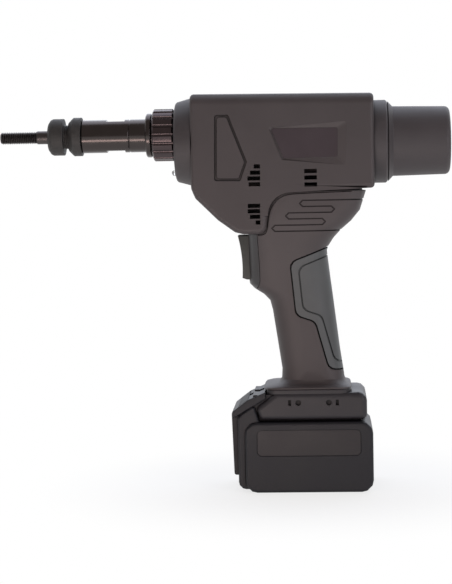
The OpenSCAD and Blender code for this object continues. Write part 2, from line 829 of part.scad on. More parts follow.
// Ribs, shelves and posts inside one half, before they are clipped to the shell
module fittings(side) {
    for (s = rib_shares)
        box([s * body_front, -reach, bulge_low_z], [s * body_front + rib_t, reach, body_top_z]);
    for (s = baffle_shares)
        box(
            [s[0] * body_front, -rib_t, body_low_z + s[2] * body_h],
            [s[1] * body_front, rib_t, body_low_z + s[3] * body_h]
        );
    for (z = [trigger_z - switch_h / 2 - part_gap - rib_t, trigger_z + switch_h / 2 + part_gap])
        box([switch_x, -reach, z], [switch_x + switch_len, reach, z + rib_t]);
    box([board_x, -reach, board_z - part_gap - rib_t], [board_x + board_len, reach, board_z - part_gap]);
    for (p = screw_points) {
        screw_post(p, side * over, side * body_half, screw_boss_d);
        if (side > 0)
            screw_post(p, screw_seat_y - rib_t, body_half, screw_well_d);
    }
    foot_post(side, screw_boss_d, foot_z, foot_z + foot_post_h);
}

module screw_room(side) {
    for (p = screw_points) {
        screw_post(p, screw_seat_y, screw_seat_y - screw_len - over, screw_d_main + part_gap);
        if (side > 0)
            screw_post(p, screw_seat_y, body_w, screw_head_d + part_gap);
    }
    foot_post(side, screw_d_main + part_gap, foot_z - over, foot_z + foot_post_h - over);
}

// Slots through one side of the body
module vent_group(shares, right_share, side) {
    inner = body_half - 2 * wall;
    for (s = shares)
        side_prism(side < 0 ? -body_w : inner, side < 0 ? -inner : body_w)
            translate([s[0] * body_front, body_low_z + s[1] * body_h - vent_h / 2])
            square([(right_share - s[0]) * body_front, vent_h]);
}

// Line drawn through a list of points
module stroke_line(points) {
    for (i = [0:len(points) - 2])
        hull() {
            translate(points[i]) circle(line_w / 2, $fn = line_sides);
            translate(points[i + 1]) circle(line_w / 2, $fn = line_sides);
        }
}

function on_body(s) = [s[0] * body_front, body_low_z + s[1] * body_h];

function on_handle(s) = [s[0] * grip_depth, foot_z + s[1] * handle_h];

// The wing's lines run to and fro from the rear edge to the rear edge
function wing_row_end(row, at_left) =
    at_left ? grip_depth * (wing_left_share + wing_left_shift_share * floor(row / 2))
        : grip_depth * (wing_right_share + wing_right_shift_share * floor((row - 1) / 2));
function wing_z(row) = body_low_z - wing_top_drop - row * row_pitch;
wing_path = [
    [grip_depth * wing_edge_share, wing_z(0)],
    for (row = [0:wing_rows - 2])
        let (at_left = row % 2 == 0, x = wing_row_end(row, at_left), out = at_left ? -1 : 1)
        for (a = [90, 0, -90])
            [x + out * row_pitch / 2 * cos(a), wing_z(row + 0.5) + row_pitch / 2 * sin(a)],
    [grip_depth * wing_edge_share, wing_z(wing_rows - 1)]
];

pad_outline = [for (s = pad_shares) on_handle(s)];
pad_radii = [0, pad_corner_r, pad_corner_r, -pad_corner_r, pad_corner_r, 0];

// Moulded lines and recesses on the outside of one half
module surface_cuts(side) {
    y0 = side < 0 ? -body_w : body_half - panel_depth;
    y1 = side < 0 ? panel_depth - body_half : body_w;
    panel = [for (s = panel_shares) on_body(s)];
    recess = [for (s = recess_shares) on_body(s)];
    recess_floor = [for (s = recess_floor_shares) on_body(s)];
    side_prism(y0, y1) difference() {
        polygon(soft_outline(panel, even(panel, panel_corner_r), 0));
        polygon(soft_outline(inset_outline(panel, panel_line_w), even(panel, panel_corner_r), 0));
    }
    hull() {
        side_prism(side < 0 ? -body_half - over : body_half, side < 0 ? -body_half : body_half + over)
            polygon(soft_outline(recess, even(recess, panel_corner_r), 0));
        side_prism(side < 0 ? -body_half : body_half - panel_depth, side < 0 ? panel_depth - body_half
            : body_half)
            polygon(soft_outline(recess_floor, even(recess_floor, panel_corner_r), 0));
    }
    difference() {
        side_prism(side < 0 ? -body_w : 0, side < 0 ? 0 : body_w) stroke_line(wing_path);
        handle_form(line_depth);
    }
    difference() {
        side_prism(-body_w, body_w) polygon(soft_outline(pad_outline, pad_radii, 0));
        handle_form(pad_t + slide_gap);
    }
}

module bezel_region(gap) {
    outline = [
        for (s = bezel_shares)
            [handle_front_x + s[0] * bezel_depth, bezel_top_z + (s[1] - 1) * bezel_h]
    ];
    side_prism(-body_w, body_w) polygon(inset_outline(outline, -gap));
}

module housing_half(side) {
    difference() {
        union() {
            intersection() {
                difference() {
                    union() {
                        housing_form(0);
                        bulge_fillet();
                    }
                    cavity();
                }
                seam_side(side);
            }
            intersection() {
                housing_form(wall / 2);
                fittings(side);
                seam_side(side);
            }
        }
        case_room();
        screw_room(side);
        vent_group(vent_a_shares, vent_a_right_share, side);
        vent_group(vent_b_shares, vent_b_right_share, side);
        vent_group(vent_c_shares, vent_c_right_share, side);
        surface_cuts(side);
        bezel_region(part_gap);
        box([wire_x, -wire_half, foot_z - over], [wire_x + wire_len, wire_half, foot_z + wall + over]);
    }
}

module housing_left() {
    color("#4a4543") housing_half(-1);
}

module housing_right() {
    color("#4a4543") housing_half(1);
}

// Soft pad on one half: a border and a raised field parted by a line
module grip_pad(side) {
    band = soft_outline(inset_outline(pad_outline, pad_band_w), pad_radii, 0);
    band_in = soft_outline(inset_outline(pad_outline, pad_band_w + line_w), pad_radii, 0);
    difference() {
        intersection() {
            difference() {
                handle_form(0);
                handle_form(pad_t);
            }
            side_prism(-body_w, body_w) polygon(soft_outline(inset_outline(pad_outline, line_w),
                pad_radii, 0));
            seam_side(side);
        }
        difference() {
            side_prism(-body_w, body_w) difference() {
                polygon(band);
                polygon(band_in);
            }
            handle_form(line_depth);
        }
    }
}

module grip_pad_left() {
    color("#55555a") grip_pad(-1);
}

module grip_pad_right() {
    color("#55555a") grip_pad(1);
}

module trigger_bezel() {
    color("#47474a") difference() {
        intersection() {
            handle_form(0);
            bezel_region(0);
        }
        handle_form(wall);
        box(
            [handle_front_x - bezel_depth, -trigger_half - part_gap, trigger_low_z - part_gap],
            [handle_front_x + bezel_depth, trigger_half + part_gap, trigger_top_z + part_gap]
        );
    }
}

module trigger() {
    stem_x = handle_front_x + trigger_root;
    low_x = trigger_tip_x + trigger_lean;
    outline = [
        [low_x, trigger_low_z + trigger_toe], [low_x + trigger_toe_len, trigger_low_z],
        [stem_x, trigger_low_z],
        [stem_x, trigger_top_z], [trigger_tip_x, trigger_top_z]
    ];
    radii = [trigger_edge_r, trigger_edge_r, trigger_edge_r, trigger_edge_r, trigger_edge_r];
    middle = [trigger_tip_x + trigger_lean / 2, trigger_z];
    away = [-trigger_h, -trigger_lean] / norm([trigger_h, trigger_lean]);
    scoop = middle + away * (trigger_scoop_r - trigger_scoop);
    color("#3c3f3b") union() {
        difference() {
            side_solid(outline, radii, trigger_half, trigger_edge_r);
            side_prism(-trigger_w, trigger_w) translate(scoop) circle(trigger_scoop_r, $fn = scoop_sides);
        }
        box(
            [stem_x - over, -trigger_stem_half, trigger_z - trigger_stem_half],
            [switch_x - trigger_travel - over, trigger_stem_half, trigger_z + trigger_stem_half]
        );
        rod(stem_x, switch_x + plunger_depth, plunger_r, trigger_z);
    }
}

module trigger_switch() {
    color("#2b2d30") difference() {
        box(
            [switch_x, -switch_half, trigger_z - switch_h / 2],
            [switch_x + switch_len, switch_half, trigger_z + switch_h / 2]
        );
        rod(switch_x - over, switch_x + plunger_depth + trigger_travel + over, plunger_r + slide_gap,
            trigger_z);
    }
}

module control_board() {
    color("#23633f") union() {
        box([board_x, -board_t / 2, board_z], [board_x + board_len, board_t / 2, board_z + board_h]);
        box(
            [board_x + board_len / 4, board_t / 2 - slide_gap, board_z + board_h / 4],
            [board_x + board_len * 3 / 4, board_t / 2 + board_chip_h, board_z + board_h * 3 / 4]
        );
    }
}

module front_case() {
    cap_r = cap_d / 2;
    bell_front = bell_x - case_wall;
    color("#3a3937") difference() {
        union() {
            turned([
                [0, cap_front_x],
                for (k = [0:$edge_steps])
                    let (a = 90 * k / $edge_steps)
                    [cap_r - cap_taper - cap_edge * (1 - sin(a)), cap_front_x + cap_edge * (1 - cos(a))],
                [cap_r, body_front_x], [0, body_front_x]
            ], axis_z + cap_rise);
            rod(body_front_x - over, body_front_x + spigot_len, spigot_r, axis_z);
            rod(cap_front_x - boss_len, cap_front_x + over, boss_d / 2, nose_z);
            rod(body_front_x, bell_x, nut_tube_r, nose_z);
            rod(bell_front, plate_x, case_r, axis_z);
        }
        rod(cap_front_x - boss_len - over, chamber_x + over, sleeve_r + slide_gap, nose_z);
        rod(chamber_x, bell_x + over, chamber_r, nose_z);
        rod(bell_x, plate_x + over, drive_r + part_gap, nose_z);
        rod(cap_front_x - over, cap_front_x + light_seat, light_d / 2 + slide_gap, axis_z - light_drop);
        case_screw_room(plate_x - case_screw_len, plate_x + over, screw_d_main / 2 + slide_gap);
    }
}

// Places the screws that hold the gear plate to the front case
module case_screw_room(x0, x1, r) {
    for (a = [-case_screw_angle, 0, case_screw_angle])
        along_x(x0, x1, axis_z) rotate(a) translate([case_screw_orbit, 0]) circle(r);
}

module gear_plate() {
    color("#8f9296") difference() {
        rod(plate_x, plate_rear_x, case_r, axis_z);
        rod(plate_x - over, plate_rear_x + over, output_bearing_r - case_wall, axis_z);
        rod(plate_rear_x - bearing_t, plate_rear_x + over, output_bearing_r + slide_gap / 2, axis_z);
        case_screw_room(plate_x - over, plate_rear_x + over, screw_d_main / 2 + slide_gap);
        case_screw_room(plate_rear_x - screw_head_h - slide_gap, plate_rear_x + over,
            screw_head_d / 2 + slide_gap);
    }
}

module motor_case() {
    seat_r = ring_gear_r + slide_gap;
    color("#3c3b3c") turned([
        [seat_r, plate_rear_x], [case_r, plate_rear_x], [case_r, web_rear_x], [spigot_rear_r, web_rear_x],
        [spigot_rear_r, collar_in_x], [rear_collar_r, collar_in_x],
        [rear_collar_r, collar_end_x - rear_edge],
        [rear_collar_r - rear_edge, collar_end_x], [spigot_rear_r, collar_end_x],
        [spigot_rear_r, collar_end_x + spigot_rear_len], [motor_seat_r, collar_end_x + spigot_rear_len],
        [motor_seat_r, web_rear_x], [motor_bearing_r, web_rear_x], [motor_bearing_r, motor_web_x],
        [seat_r, motor_web_x]
    ], axis_z);
}

module rear_cap() {
    rim_r = rear_rim_d / 2;
    front_r = barrel_d / 2;
    end_r = front_r - barrel_taper / 2;
    cone_x = rear_cap_x + barrel_cone_len;
    bore_r = spigot_rear_r + slide_gap;
    inner_r = end_r - cap_wall;
    color("#3c3b3c") turned(concat(
        [[bore_r, rear_cap_x], [rim_r, rear_cap_x], [front_r, cone_x]],
        [
            for (k = [0:$edge_steps * 2])
                let (a = 45 * k / $edge_steps)
                [end_r - rear_end_r * (1 - cos(a)), rear_end_x - rear_end_r * (1 - sin(a))]
        ],
        [
            [0, rear_end_x], [0, rear_end_x - cap_wall], [inner_r, rear_end_x - cap_wall],
            [inner_r, collar_end_x + spigot_rear_len + part_gap],
            [bore_r, collar_end_x + spigot_rear_len + part_gap]
        ]
    ), axis_z);
}

module work_light() {
    r = light_d / 2;
    tip = cap_front_x - light_reach;
    color("#dfe6ea") turned(concat(
        [for (k = [0:$edge_steps * 2]) let (a = 45 * k / $edge_steps) [r * sin(a), tip + r * (1 - cos(a))]],
        [[r, cap_front_x + light_seat - slide_gap], [0, cap_front_x + light_seat - slide_gap]]
    ), axis_z - light_drop);
}

module nose_sleeve() {
    line_x = collar_front_x - sleeve_line_x;
    flat_x = collar_front_x - flat_setback - flat_len;
    color("#2a2928") difference() {
        turned([
            [sleeve_bore_r, sleeve_front_x], [sleeve_r - sleeve_edge, sleeve_front_x],
            [sleeve_r, sleeve_front_x + sleeve_edge],
            [sleeve_r, line_x - line_w / 2], [sleeve_r - line_w / 2, line_x],
            [sleeve_r, line_x + line_w / 2],
            [sleeve_r, body_front_x + sleeve_tail], [sleeve_bore_r, body_front_x + sleeve_tail]
        ], nose_z);
        for (side = [-1, 1])
            translate([flat_x, -sleeve_d, nose_z + side * (sleeve_r - flat_depth) + min(0,
                side) * sleeve_d])
                cube([flat_len, 2 * sleeve_d, sleeve_d]);
    }
}

module collar_ring() {
    r = collar_d / 2;
    color("#2a2928") turned([
        [sleeve_r + slide_gap, collar_front_x], [r - ring_edge, collar_front_x],
        [r, collar_front_x + ring_edge],
        [r, collar_rear_x - ring_edge], [r - ring_edge, collar_rear_x],
        [sleeve_r + slide_gap, collar_rear_x]
    ], nose_z);
}

module stroke_ring() {
    r = ring_d / 2;
    lip_x = cap_front_x - boss_len - part_gap;
    color("#2a2928") difference() {
        turned([
            [sleeve_r + run_gap, ring_front_x], [r - ring_edge, ring_front_x],
            [r, ring_front_x + ring_edge],
            [r, ring_rear_x - ring_edge], [r - ring_edge, ring_rear_x], [boss_d / 2 + run_gap, ring_rear_x],
            [boss_d / 2 + run_gap, lip_x], [sleeve_r + run_gap, lip_x]
        ], nose_z);
        along_x(ring_front_x - over, ring_rear_x + over, nose_z)
            for (k = [0:flute_count - 1]) rotate(360 * (k + 0.5) / flute_count)
                translate([r + flute_lift, 0]) circle(flute_r);
    }
}

module jam_nut() {
    r = jam_d / 2;
    color("#353535") turned([
        [stem_r + run_gap, jam_front_x], [r - nose_chamfer, jam_front_x], [r, jam_front_x + nose_chamfer],
        [r, sleeve_front_x - slide_gap], [stem_r + run_gap, sleeve_front_x - slide_gap]
    ], nose_z);
}

module nosepiece() {
    r = nosepiece_d / 2;
    bore_r = shank_d / 2 + run_gap;
    color("#353535") turned([
        [bore_r, nosepiece_front_x], [r - nose_chamfer, nosepiece_front_x],
        [r - nose_chamfer / 4, nosepiece_front_x + nose_chamfer / 2], [r, nosepiece_front_x + nose_chamfer],
        [r, nosepiece_rear_x], [stem_r, nosepiece_rear_x], [stem_r, stem_rear_x], [bore_r, stem_rear_x]
    ], nose_z);
}

module mandrel() {
    thread_r = thread_d / 2;
    color("#3a3636") turned([
        [0, tip_x], [thread_r - thread_chamfer, tip_x], [thread_r, tip_x + thread_chamfer],
        [thread_r, shank_front_x],
        [shank_d / 2, shank_front_x], [shank_d / 2, coupling_x + coupling_bore],
        [0, coupling_x + coupling_bore]
    ], nose_z);
}

module mandrel_coupling() {
    bore_r = shank_d / 2 + slide_gap / 2;
    neck_r = swivel_neck_r + run_gap;
    head_r = swivel_head_r + run_gap;
    color("#77787b") turned([
        [bore_r, coupling_x], [coupling_r, coupling_x], [coupling_r, coupling_rear_x],
        [neck_r, coupling_rear_x],
        [neck_r, coupling_rear_x - swivel_neck], [head_r, coupling_rear_x - swivel_neck],
        [head_r, coupling_rear_x - swivel_neck - swivel_head - 2 * slide_gap],
        [0, coupling_rear_x - swivel_neck - swivel_head - 2 * slide_gap],
        [0, coupling_x + coupling_bore + slide_gap], [bore_r, coupling_x + coupling_bore + slide_gap]
    ], nose_z);
}

module ball_screw() {
    head_x = coupling_rear_x - swivel_neck - slide_gap;
    color("#9a9b9d") turned([
        [0, head_x - swivel_head], [swivel_head_r, head_x - swivel_head], [swivel_head_r, head_x],
        [swivel_neck_r, head_x], [swivel_neck_r, coupling_rear_x + slide_gap],
        [screw_d / 2, coupling_rear_x + slide_gap],
        [screw_d / 2, screw_rear_x], [0, screw_rear_x]
    ], nose_z);
}

module ball_nut() {
    bore_r = screw_d / 2 + run_gap;
    color("#85878a") turned([
        [bore_r, nut_front_x], [nut_r, nut_front_x], [nut_r, nut_rear_x], [nut_tail_r, nut_rear_x],
        [nut_tail_r, teeth_x], [bore_r, teeth_x]
    ], nose_z);
}

module thrust_bearing() {
    color("#a9abad") tube(thrust_rear_x - thrust_len, thrust_rear_x, nut_bearing_d / 2,
        screw_d / 2 + part_gap, nose_z);
}

module nut_bearing() {
    middle = (nut_front_x + nut_rear_x) / 2;
    color("#a9abad")
        tube(middle - nut_bearing_len / 2, middle + nut_bearing_len / 2, nut_bearing_d / 2,
            nut_r + run_gap, nose_z);
}

module drive_gear() {
    color("#6f7073") union() {
        along_x(teeth_x - over, drive_rear_x, nose_z) difference() {
            circle(drive_r);
            inner_gear(drive_teeth, drive_module);
        }
        tube(teeth_x - web_t, teeth_x, drive_r, nut_tail_r + slide_gap / 2, nose_z);
    }
}

module output_pinion() {
    color("#6f7073") along_x(pinion_x, drive_rear_x - carrier_gap, axis_z) difference() {
        outer_gear(pinion_teeth, drive_module);
        circle(carrier_shaft_r + slide_gap / 2);
    }
}

module planet_carrier() {
    color("#77787b") union() {
        rod(pinion_x, carrier_x + over, carrier_shaft_r, axis_z);
        rod(carrier_x, carrier_x + carrier_t, carrier_r, axis_z);
        along_x(carrier_x + carrier_t - over, planet_x + planet_w, axis_z)
            for (k = [0:planet_count - 1]) rotate(360 * k / planet_count) translate([planet_orbit, 0])
                circle(pin_r);
    }
}

module output_bearing() {
    color("#a9abad") tube(plate_rear_x - bearing_t + slide_gap, plate_rear_x, output_bearing_r,
        carrier_shaft_r + run_gap, axis_z);
}

module planet_gear(k) {
    color("#6f7073") along_x(planet_x, planet_x + planet_w, axis_z)
        rotate(360 * k / planet_count) translate([planet_orbit, 0]) difference() {
            outer_gear(planet_teeth, planet_module);
            circle(pin_r + run_gap);
        }
}

module planet_gear_1() planet_gear(0);

module planet_gear_2() planet_gear(1);

module planet_gear_3() planet_gear(2);

module ring_gear() {
    color("#6f7073") along_x(planet_x, planet_x + planet_w, axis_z) difference() {
        circle(ring_gear_r);
        inner_gear(planet_ring_teeth, planet_module);
    }
}

module sun_gear() {
    color("#6f7073") along_x(planet_x, planet_x + planet_w, axis_z) difference() {
        rotate(180 / planet_teeth) outer_gear(planet_teeth, planet_module);
        circle(motor_shaft_r + slide_gap / 2);
    }
}

module motor_can() {
    inner_r = motor_r - motor_wall;
    color("#8b8d90") turned([
        [motor_bearing_r + slide_gap / 2, can_x], [motor_r, can_x], [motor_r, can_rear_x],
        [inner_r, can_rear_x],
        [inner_r, can_x + bearing_t], [motor_bearing_r + slide_gap / 2, can_x + bearing_t]
    ], axis_z);
}

module motor_end_bell() {
    color("#2b2d30") tube(can_rear_x + slide_gap, bell_rear_x, motor_r, motor_bearing_r + slide_gap / 2,
        axis_z);
}

module motor_bearings() {
    color("#a9abad") for (x = [can_x, bell_rear_x - bearing_t + slide_gap])
        tube(x, x + bearing_t - slide_gap, motor_bearing_r, motor_shaft_r + run_gap, axis_z);
}

module magnets() {
    outer_r = motor_r - motor_wall - slide_gap;
    color("#4d4f52") translate([0, 0, axis_z]) rotate([0, 90, 0])
        for (a = [0, 180]) rotate(a - magnet_angle / 2) rotate_extrude(angle = magnet_angle) polygon([
            [outer_r - magnet_t, stack_x], [outer_r, stack_x], [outer_r, stack_rear_x],
            [outer_r - magnet_t, stack_rear_x]
        ]);
}

module armature() {
    stack_r = motor_r - motor_wall - slide_gap - magnet_t - part_gap;
    color("#7a4a2c") union() {
        rod(planet_x, fan_rear_x, motor_shaft_r, axis_z);
        rod(stack_x, stack_rear_x, stack_r, axis_z);
    }
}

module commutator() {
    color("#b87333") tube(stack_rear_x + slide_gap, brush_rear_x, commutator_r,
        motor_shaft_r + slide_gap / 2, axis_z);
}

module brush_plate() {
    color("#2b2d30") tube(
        brush_rear_x - bearing_t, brush_rear_x, motor_r - motor_wall - slide_gap, commutator_r + run_gap,
            axis_z
    );
}

module fan() {
    fan_r = motor_r - case_wall;
    color("#2b2d30") along_x(fan_x, fan_rear_x, axis_z) difference() {
        union() {
            circle(fan_hub_r);
            for (k = [0:fan_blades - 1]) rotate(360 * k / fan_blades) translate([0, -fan_blade_t / 2])
                square([fan_r, fan_blade_t]);
        }
        circle(motor_shaft_r + slide_gap / 2);
    }
}

// Opening shared by the dock's screws: head below, shank above
module dock_screw_set(side, gap) {
    for (x = dock_screw_xs) {
        translate([x, side * dock_screw_y, dock_roof_z - gap])
            cylinder(h = screw_head_h + gap, r = screw_head_d / 2 + gap);
        translate([x, side * dock_screw_y, dock_roof_z + screw_head_h - gap])
            cylinder(h = foot_z + foot_post_h - 2 * over - dock_roof_z - screw_head_h + gap,
                r = screw_d_main / 2 + gap);
    }
}

module battery_dock() {
    outline = [
        [dock_front_x + dock_slant, dock_low_z], [dock_rear_x, dock_low_z], [dock_rear_x, dock_top_z],
        [dock_front_x + dock_top_setback, dock_top_z], [dock_front_x, dock_low_z + dock_front_h]
    ];
    neck_half = dock_half - dock_neck_inset;
    neck = rectangle(dock_front_x + dock_neck_front, dock_rear_x - dock_neck_rear, -neck_half, neck_half);
    radii = [dock_edge_r, dock_edge_r, dock_rear_r, dock_edge_r, dock_edge_r];
    color("#3f3f41") difference() {
        union() {
            side_solid(outline, radii, dock_half, dock_edge_r);
            soft_solid(neck, even(neck, dock_neck_r), dock_roof_z, foot_z - slide_gap, cover_edge_r);
        }
        box(
            [dock_front_x - over, -channel_half, rail_low_z],
            [dock_rear_x - dock_back_wall, channel_half, dock_roof_z]
        );
        box(
            [dock_front_x - over, -rail_neck_half, dock_low_z - over],
            [dock_rear_x - dock_back_wall, rail_neck_half, rail_low_z + over]
        );
        for (side = [-1, 1]) {
            dock_screw_set(side, slide_gap);
            for (end = [-1, 1]) {
                x = hook_offset + end * hook_spacing / 2;
                translate([x, side * (dock_half - hook_depth), dock_low_z + hook_lift])
                    rotate([-90 * side, 0, 0])
                    cylinder(h = hook_depth + over, r = hook_hole_d / 2);
                box(
                    [x + end * hook_slot_reach - hook_slot_w / 2, min(side * dock_half,
                    side * (dock_half - hook_depth)),
                        dock_low_z + hook_lift - hook_hole_d / 2],
                    [x + end * hook_slot_reach + hook_slot_w / 2, max(side * dock_half,
                    side * (dock_half - hook_depth)),
                        dock_low_z + hook_lift + hook_hole_d / 2]
                );
            }
        }
        box([wire_x, -wire_half, dock_roof_z - over], [wire_x + wire_len, wire_half, foot_z + over]);
    }
}

module dock_terminals() {
    color("#c8a24a") union() {
        box(
            [term_x, -term_half, rail_low_z + term_lift],
            [term_x + term_len, term_half, dock_roof_z - slide_gap]
        );
        for (y = blade_ys)
            box([term_x - blade_len, y - blade_t / 2, blade_z], [term_x + over, y + blade_t / 2,
                blade_z + blade_h]);
    }
}

module housing_screws() {
    color("#2c2d2f") for (p = screw_points) union() {
        screw_post(p, screw_seat_y + slide_gap, screw_seat_y + slide_gap + screw_head_h, screw_head_d);
        screw_post(p, screw_seat_y + slide_gap + over, screw_seat_y - screw_len + over, screw_d_main);
    }
}

module case_screws() {
    color("#2c2d2f") union() {
        case_screw_room(plate_rear_x - screw_head_h, plate_rear_x, screw_head_d / 2);
        case_screw_room(plate_x - case_screw_len + over, plate_rear_x - over, screw_d_main / 2);
    }
}

module dock_screws() {
    color("#2c2d2f") for (side = [-1, 1]) dock_screw_set(side, 0);
}

block = rectangle(-battery_len / 2, battery_len / 2, 0, battery_h);

module battery_tub() {
    label = rectangle(-label_len / 2, label_len / 2, label_lift, label_lift + label_h);
    neck_half = rail_neck_half - part_gap + slide_gap;
    color("#38383a") difference() {
        side_solid(block, even(block, battery_corner_r), battery_w / 2, battery_edge_r);
        side_prism(battery_wall - battery_w / 2, battery_w / 2 - battery_wall)
            polygon(soft_outline(block, even(block, battery_corner_r), battery_wall));
        box(
            [rail_front_x - slide_gap, -neck_half, battery_h - battery_wall - over],
            [rail_rear_x + slide_gap, neck_half, battery_h + over]
        );
        for (side = [-1, 1])
            side_prism(
                side < 0 ? -battery_w : battery_w / 2 - label_depth,
                    side < 0 ? label_depth - battery_w / 2 : battery_w
            ) polygon(soft_outline(label, even(label, label_corner_r), 0));
    }
}

// Height of the cover's slope above distance x
function slope_z(x) = battery_h + lookup(x, [
    [slope_x0, slope_front_h], [release_rear_x, slope_mid_h], [slope_x1, slope_h]
]);

module battery_cover() {
    seat_x = dock_front_x - 2 * part_gap;
    front = [
        [layer_front_x, layer_lift], [seat_x + dock_slant, layer_lift], [seat_x + dock_slant, cover_z],
        [seat_x, dock_low_z + dock_front_h], [seat_x, slope_z(seat_x) - slope_t],
        [layer_front_x, cover_z + tower_front_h]
    ];
    front_radii = [layer_corner_r, rib_t, rib_t, rib_t, rib_t, tower_r];
    core = [
        [slope_x0, cover_z], [seat_x + dock_slant, cover_z], [seat_x, dock_low_z + dock_front_h],
        [seat_x, slope_z(seat_x) - slope_t], [slope_x0, slope_z(slope_x0) - slope_t]
    ];
    slope = [
        [slope_x0, slope_z(slope_x0) - slope_t], [slope_x1, slope_z(slope_x1) - slope_t],
        [slope_x1, slope_z(slope_x1)], [release_rear_x, slope_z(release_rear_x)],
        [slope_x0, slope_z(slope_x0)]
    ];
    slope_radii = [cover_edge_r, cover_edge_r, cover_edge_r, cover_edge_r, slope_r];
    apron = [
        [apron_front_x + apron_lean, apron_lift], [layer_front_x + rib_t, apron_lift],
        [layer_front_x + rib_t, cover_z + tower_front_h], [apron_front_x, cover_z + tower_front_h]
    ];
    head_half = channel_half - part_gap;
    neck_half = rail_neck_half - part_gap;
    slot_half = blade_t / 2 + leaf_t + 2 * slide_gap;
    color("#3a3a3c") difference() {
        union() {
            difference() {
                side_solid(front, front_radii, layer_half, rib_t);
                side_prism(-battery_w, battery_w)
                    polygon(soft_outline(block, even(block, battery_corner_r), -slide_gap));
            }
            side_solid(core, even(core, cover_edge_r), apron_half, cover_edge_r);
            side_solid(slope, slope_radii, dock_half - rib_t, cover_edge_r);
            side_solid(apron, even(apron, rib_t - cover_edge_r), apron_half, cover_edge_r);
            box([rail_front_x, -neck_half, battery_h - battery_wall], [rail_rear_x, neck_half,
                rail_head_low_z + over]);
            box([rail_front_x, -head_half, rail_head_low_z], [rail_rear_x, head_half, rail_head_top_z]);
        }
        box(
            [release_x - part_gap, -release_half - part_gap, cover_z + slide_gap],
            [release_rear_x + part_gap, release_half + part_gap, rail_head_top_z + over]
        );
        box(
            [release_rear_x - over, -release_arm_half - part_gap, rail_head_low_z],
            [release_arm_rear_x + part_gap, release_arm_half + part_gap, dock_top_z + over]
        );
        box(
            [term_x - part_gap, -term_half - part_gap, rail_low_z + term_lift - part_gap],
            [rail_rear_x + over, term_half + part_gap, rail_head_top_z + over]
        );
        for (y = blade_ys)
            box(
                [term_x - blade_len - part_gap, y - slot_half, blade_z - leaf_base - 2 * part_gap],
                [term_x, y + slot_half, blade_z + blade_h + part_gap]
            );
    }
}

module release_button() {
    cap = [
        [release_x, release_low_z], [release_rear_x, release_low_z],
        [release_rear_x, slope_z(release_rear_x) + release_proud],
        [release_x, slope_z(release_x) + release_proud]
    ];
    color("#1b1b1c") union() {
        side_solid(cap, even(cap, cover_edge_r / 2), release_half, cover_edge_r / 2);
        box(
            [release_rear_x - over, -release_arm_half, release_arm_z],
            [release_arm_rear_x, release_arm_half, release_arm_z + release_arm_t]
        );
        box(
            [release_arm_rear_x - release_tooth_len, -release_arm_half, release_arm_z],
            [release_arm_rear_x, release_arm_half, rail_head_top_z]
        );
    }
}

module release_spring() {
    color("#a9abad") translate([spring_x, 0, rail_head_low_z + slide_gap / 2]) difference() {
        cylinder(h = release_arm_z - rail_head_low_z - slide_gap, r = spring_r);
        translate([0, 0, -over]) cylinder(h = release_arm_z, r = spring_r - spring_wire);
    }
}

function cell_x(i) = (i - (cell_count - 1) / 2) * cell_pitch;

module cells() {
    color("#3f7d6a") for (i = [0:cell_count - 1])
        translate([cell_x(i), cell_len / 2, cell_z]) rotate([90, 0, 0]) cylinder(h = cell_len, r = cell_r);
}

module cell_holder() {
    outline = soft_outline(block, even(block, battery_corner_r), battery_wall + slide_gap);
    color("#55585c") for (y = holder_ys) difference() {
        side_prism(y - holder_t / 2, y + holder_t / 2) intersection() {
            polygon(outline);
            translate([-battery_len / 2, 0]) square([battery_len, holder_top_z]);
        }
        for (i = [0:cell_count - 1])
            translate([cell_x(i), y + holder_t, cell_z]) rotate([90, 0, 0])
                cylinder(h = 2 * holder_t, r = cell_r + slide_gap);
    }
}

module battery_board() {
    half = battery_len / 2 - 4 * battery_wall;
    color("#23633f") box(
        [-half, holder_ys[0] - 2 * holder_t, holder_top_z + slide_gap],
        [half, holder_ys[1] + 2 * holder_t, holder_top_z + slide_gap + board_t]
    );
}

module battery_contacts() {
    x = term_x - blade_len + leaf_len / 2;
    color("#c8a24a") for (y = blade_ys) union() {
        for (side = [-1, 1]) {
            a = y + side * (blade_t / 2 + slide_gap);
            b = a + side * leaf_t;
            box([x, min(a, b), blade_z - leaf_base - part_gap], [x + leaf_len, max(a, b),
                blade_z + blade_h - leaf_base]);
        }
        box(
            [x, y - blade_t / 2 - slide_gap - over / 4, blade_z - leaf_base - part_gap],
            [x + leaf_len, y + blade_t / 2 + slide_gap + over / 4, blade_z - part_gap]
        );
    }
}

housing_left();
housing_right();
grip_pad_left();
grip_pad_right();
trigger_bezel();
trigger();
trigger_switch();
control_board();
front_case();
gear_plate();
motor_case();
rear_cap();
work_light();
nose_sleeve();
collar_ring();
stroke_ring();
jam_nut();
nosepiece();
mandrel();
mandrel_coupling();
ball_screw();
ball_nut();
thrust_bearing();
nut_bearing();
drive_gear();
output_pinion();
planet_carrier();
output_bearing();
planet_gear_1();
planet_gear_2();
planet_gear_3();
ring_gear();
sun_gear();
motor_can();
motor_end_bell();
magnets();
armature();
commutator();
brush_plate();
fan();
motor_bearings();
battery_dock();
dock_terminals();
housing_screws();
case_screws();
dock_screws();
battery_tub();
battery_cover();
release_button();
release_spring();
cells();
cell_holder();
battery_board();
battery_contacts();
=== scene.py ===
# Cordless rivet nut tool on a slide-on battery pack, dressed for the picture.
# Metres, Z up, nose towards -X; the pack's flat underside stands on the floor at z = 0.
import json
import math

import bmesh
import bpy
from mathutils import Matrix, Vector

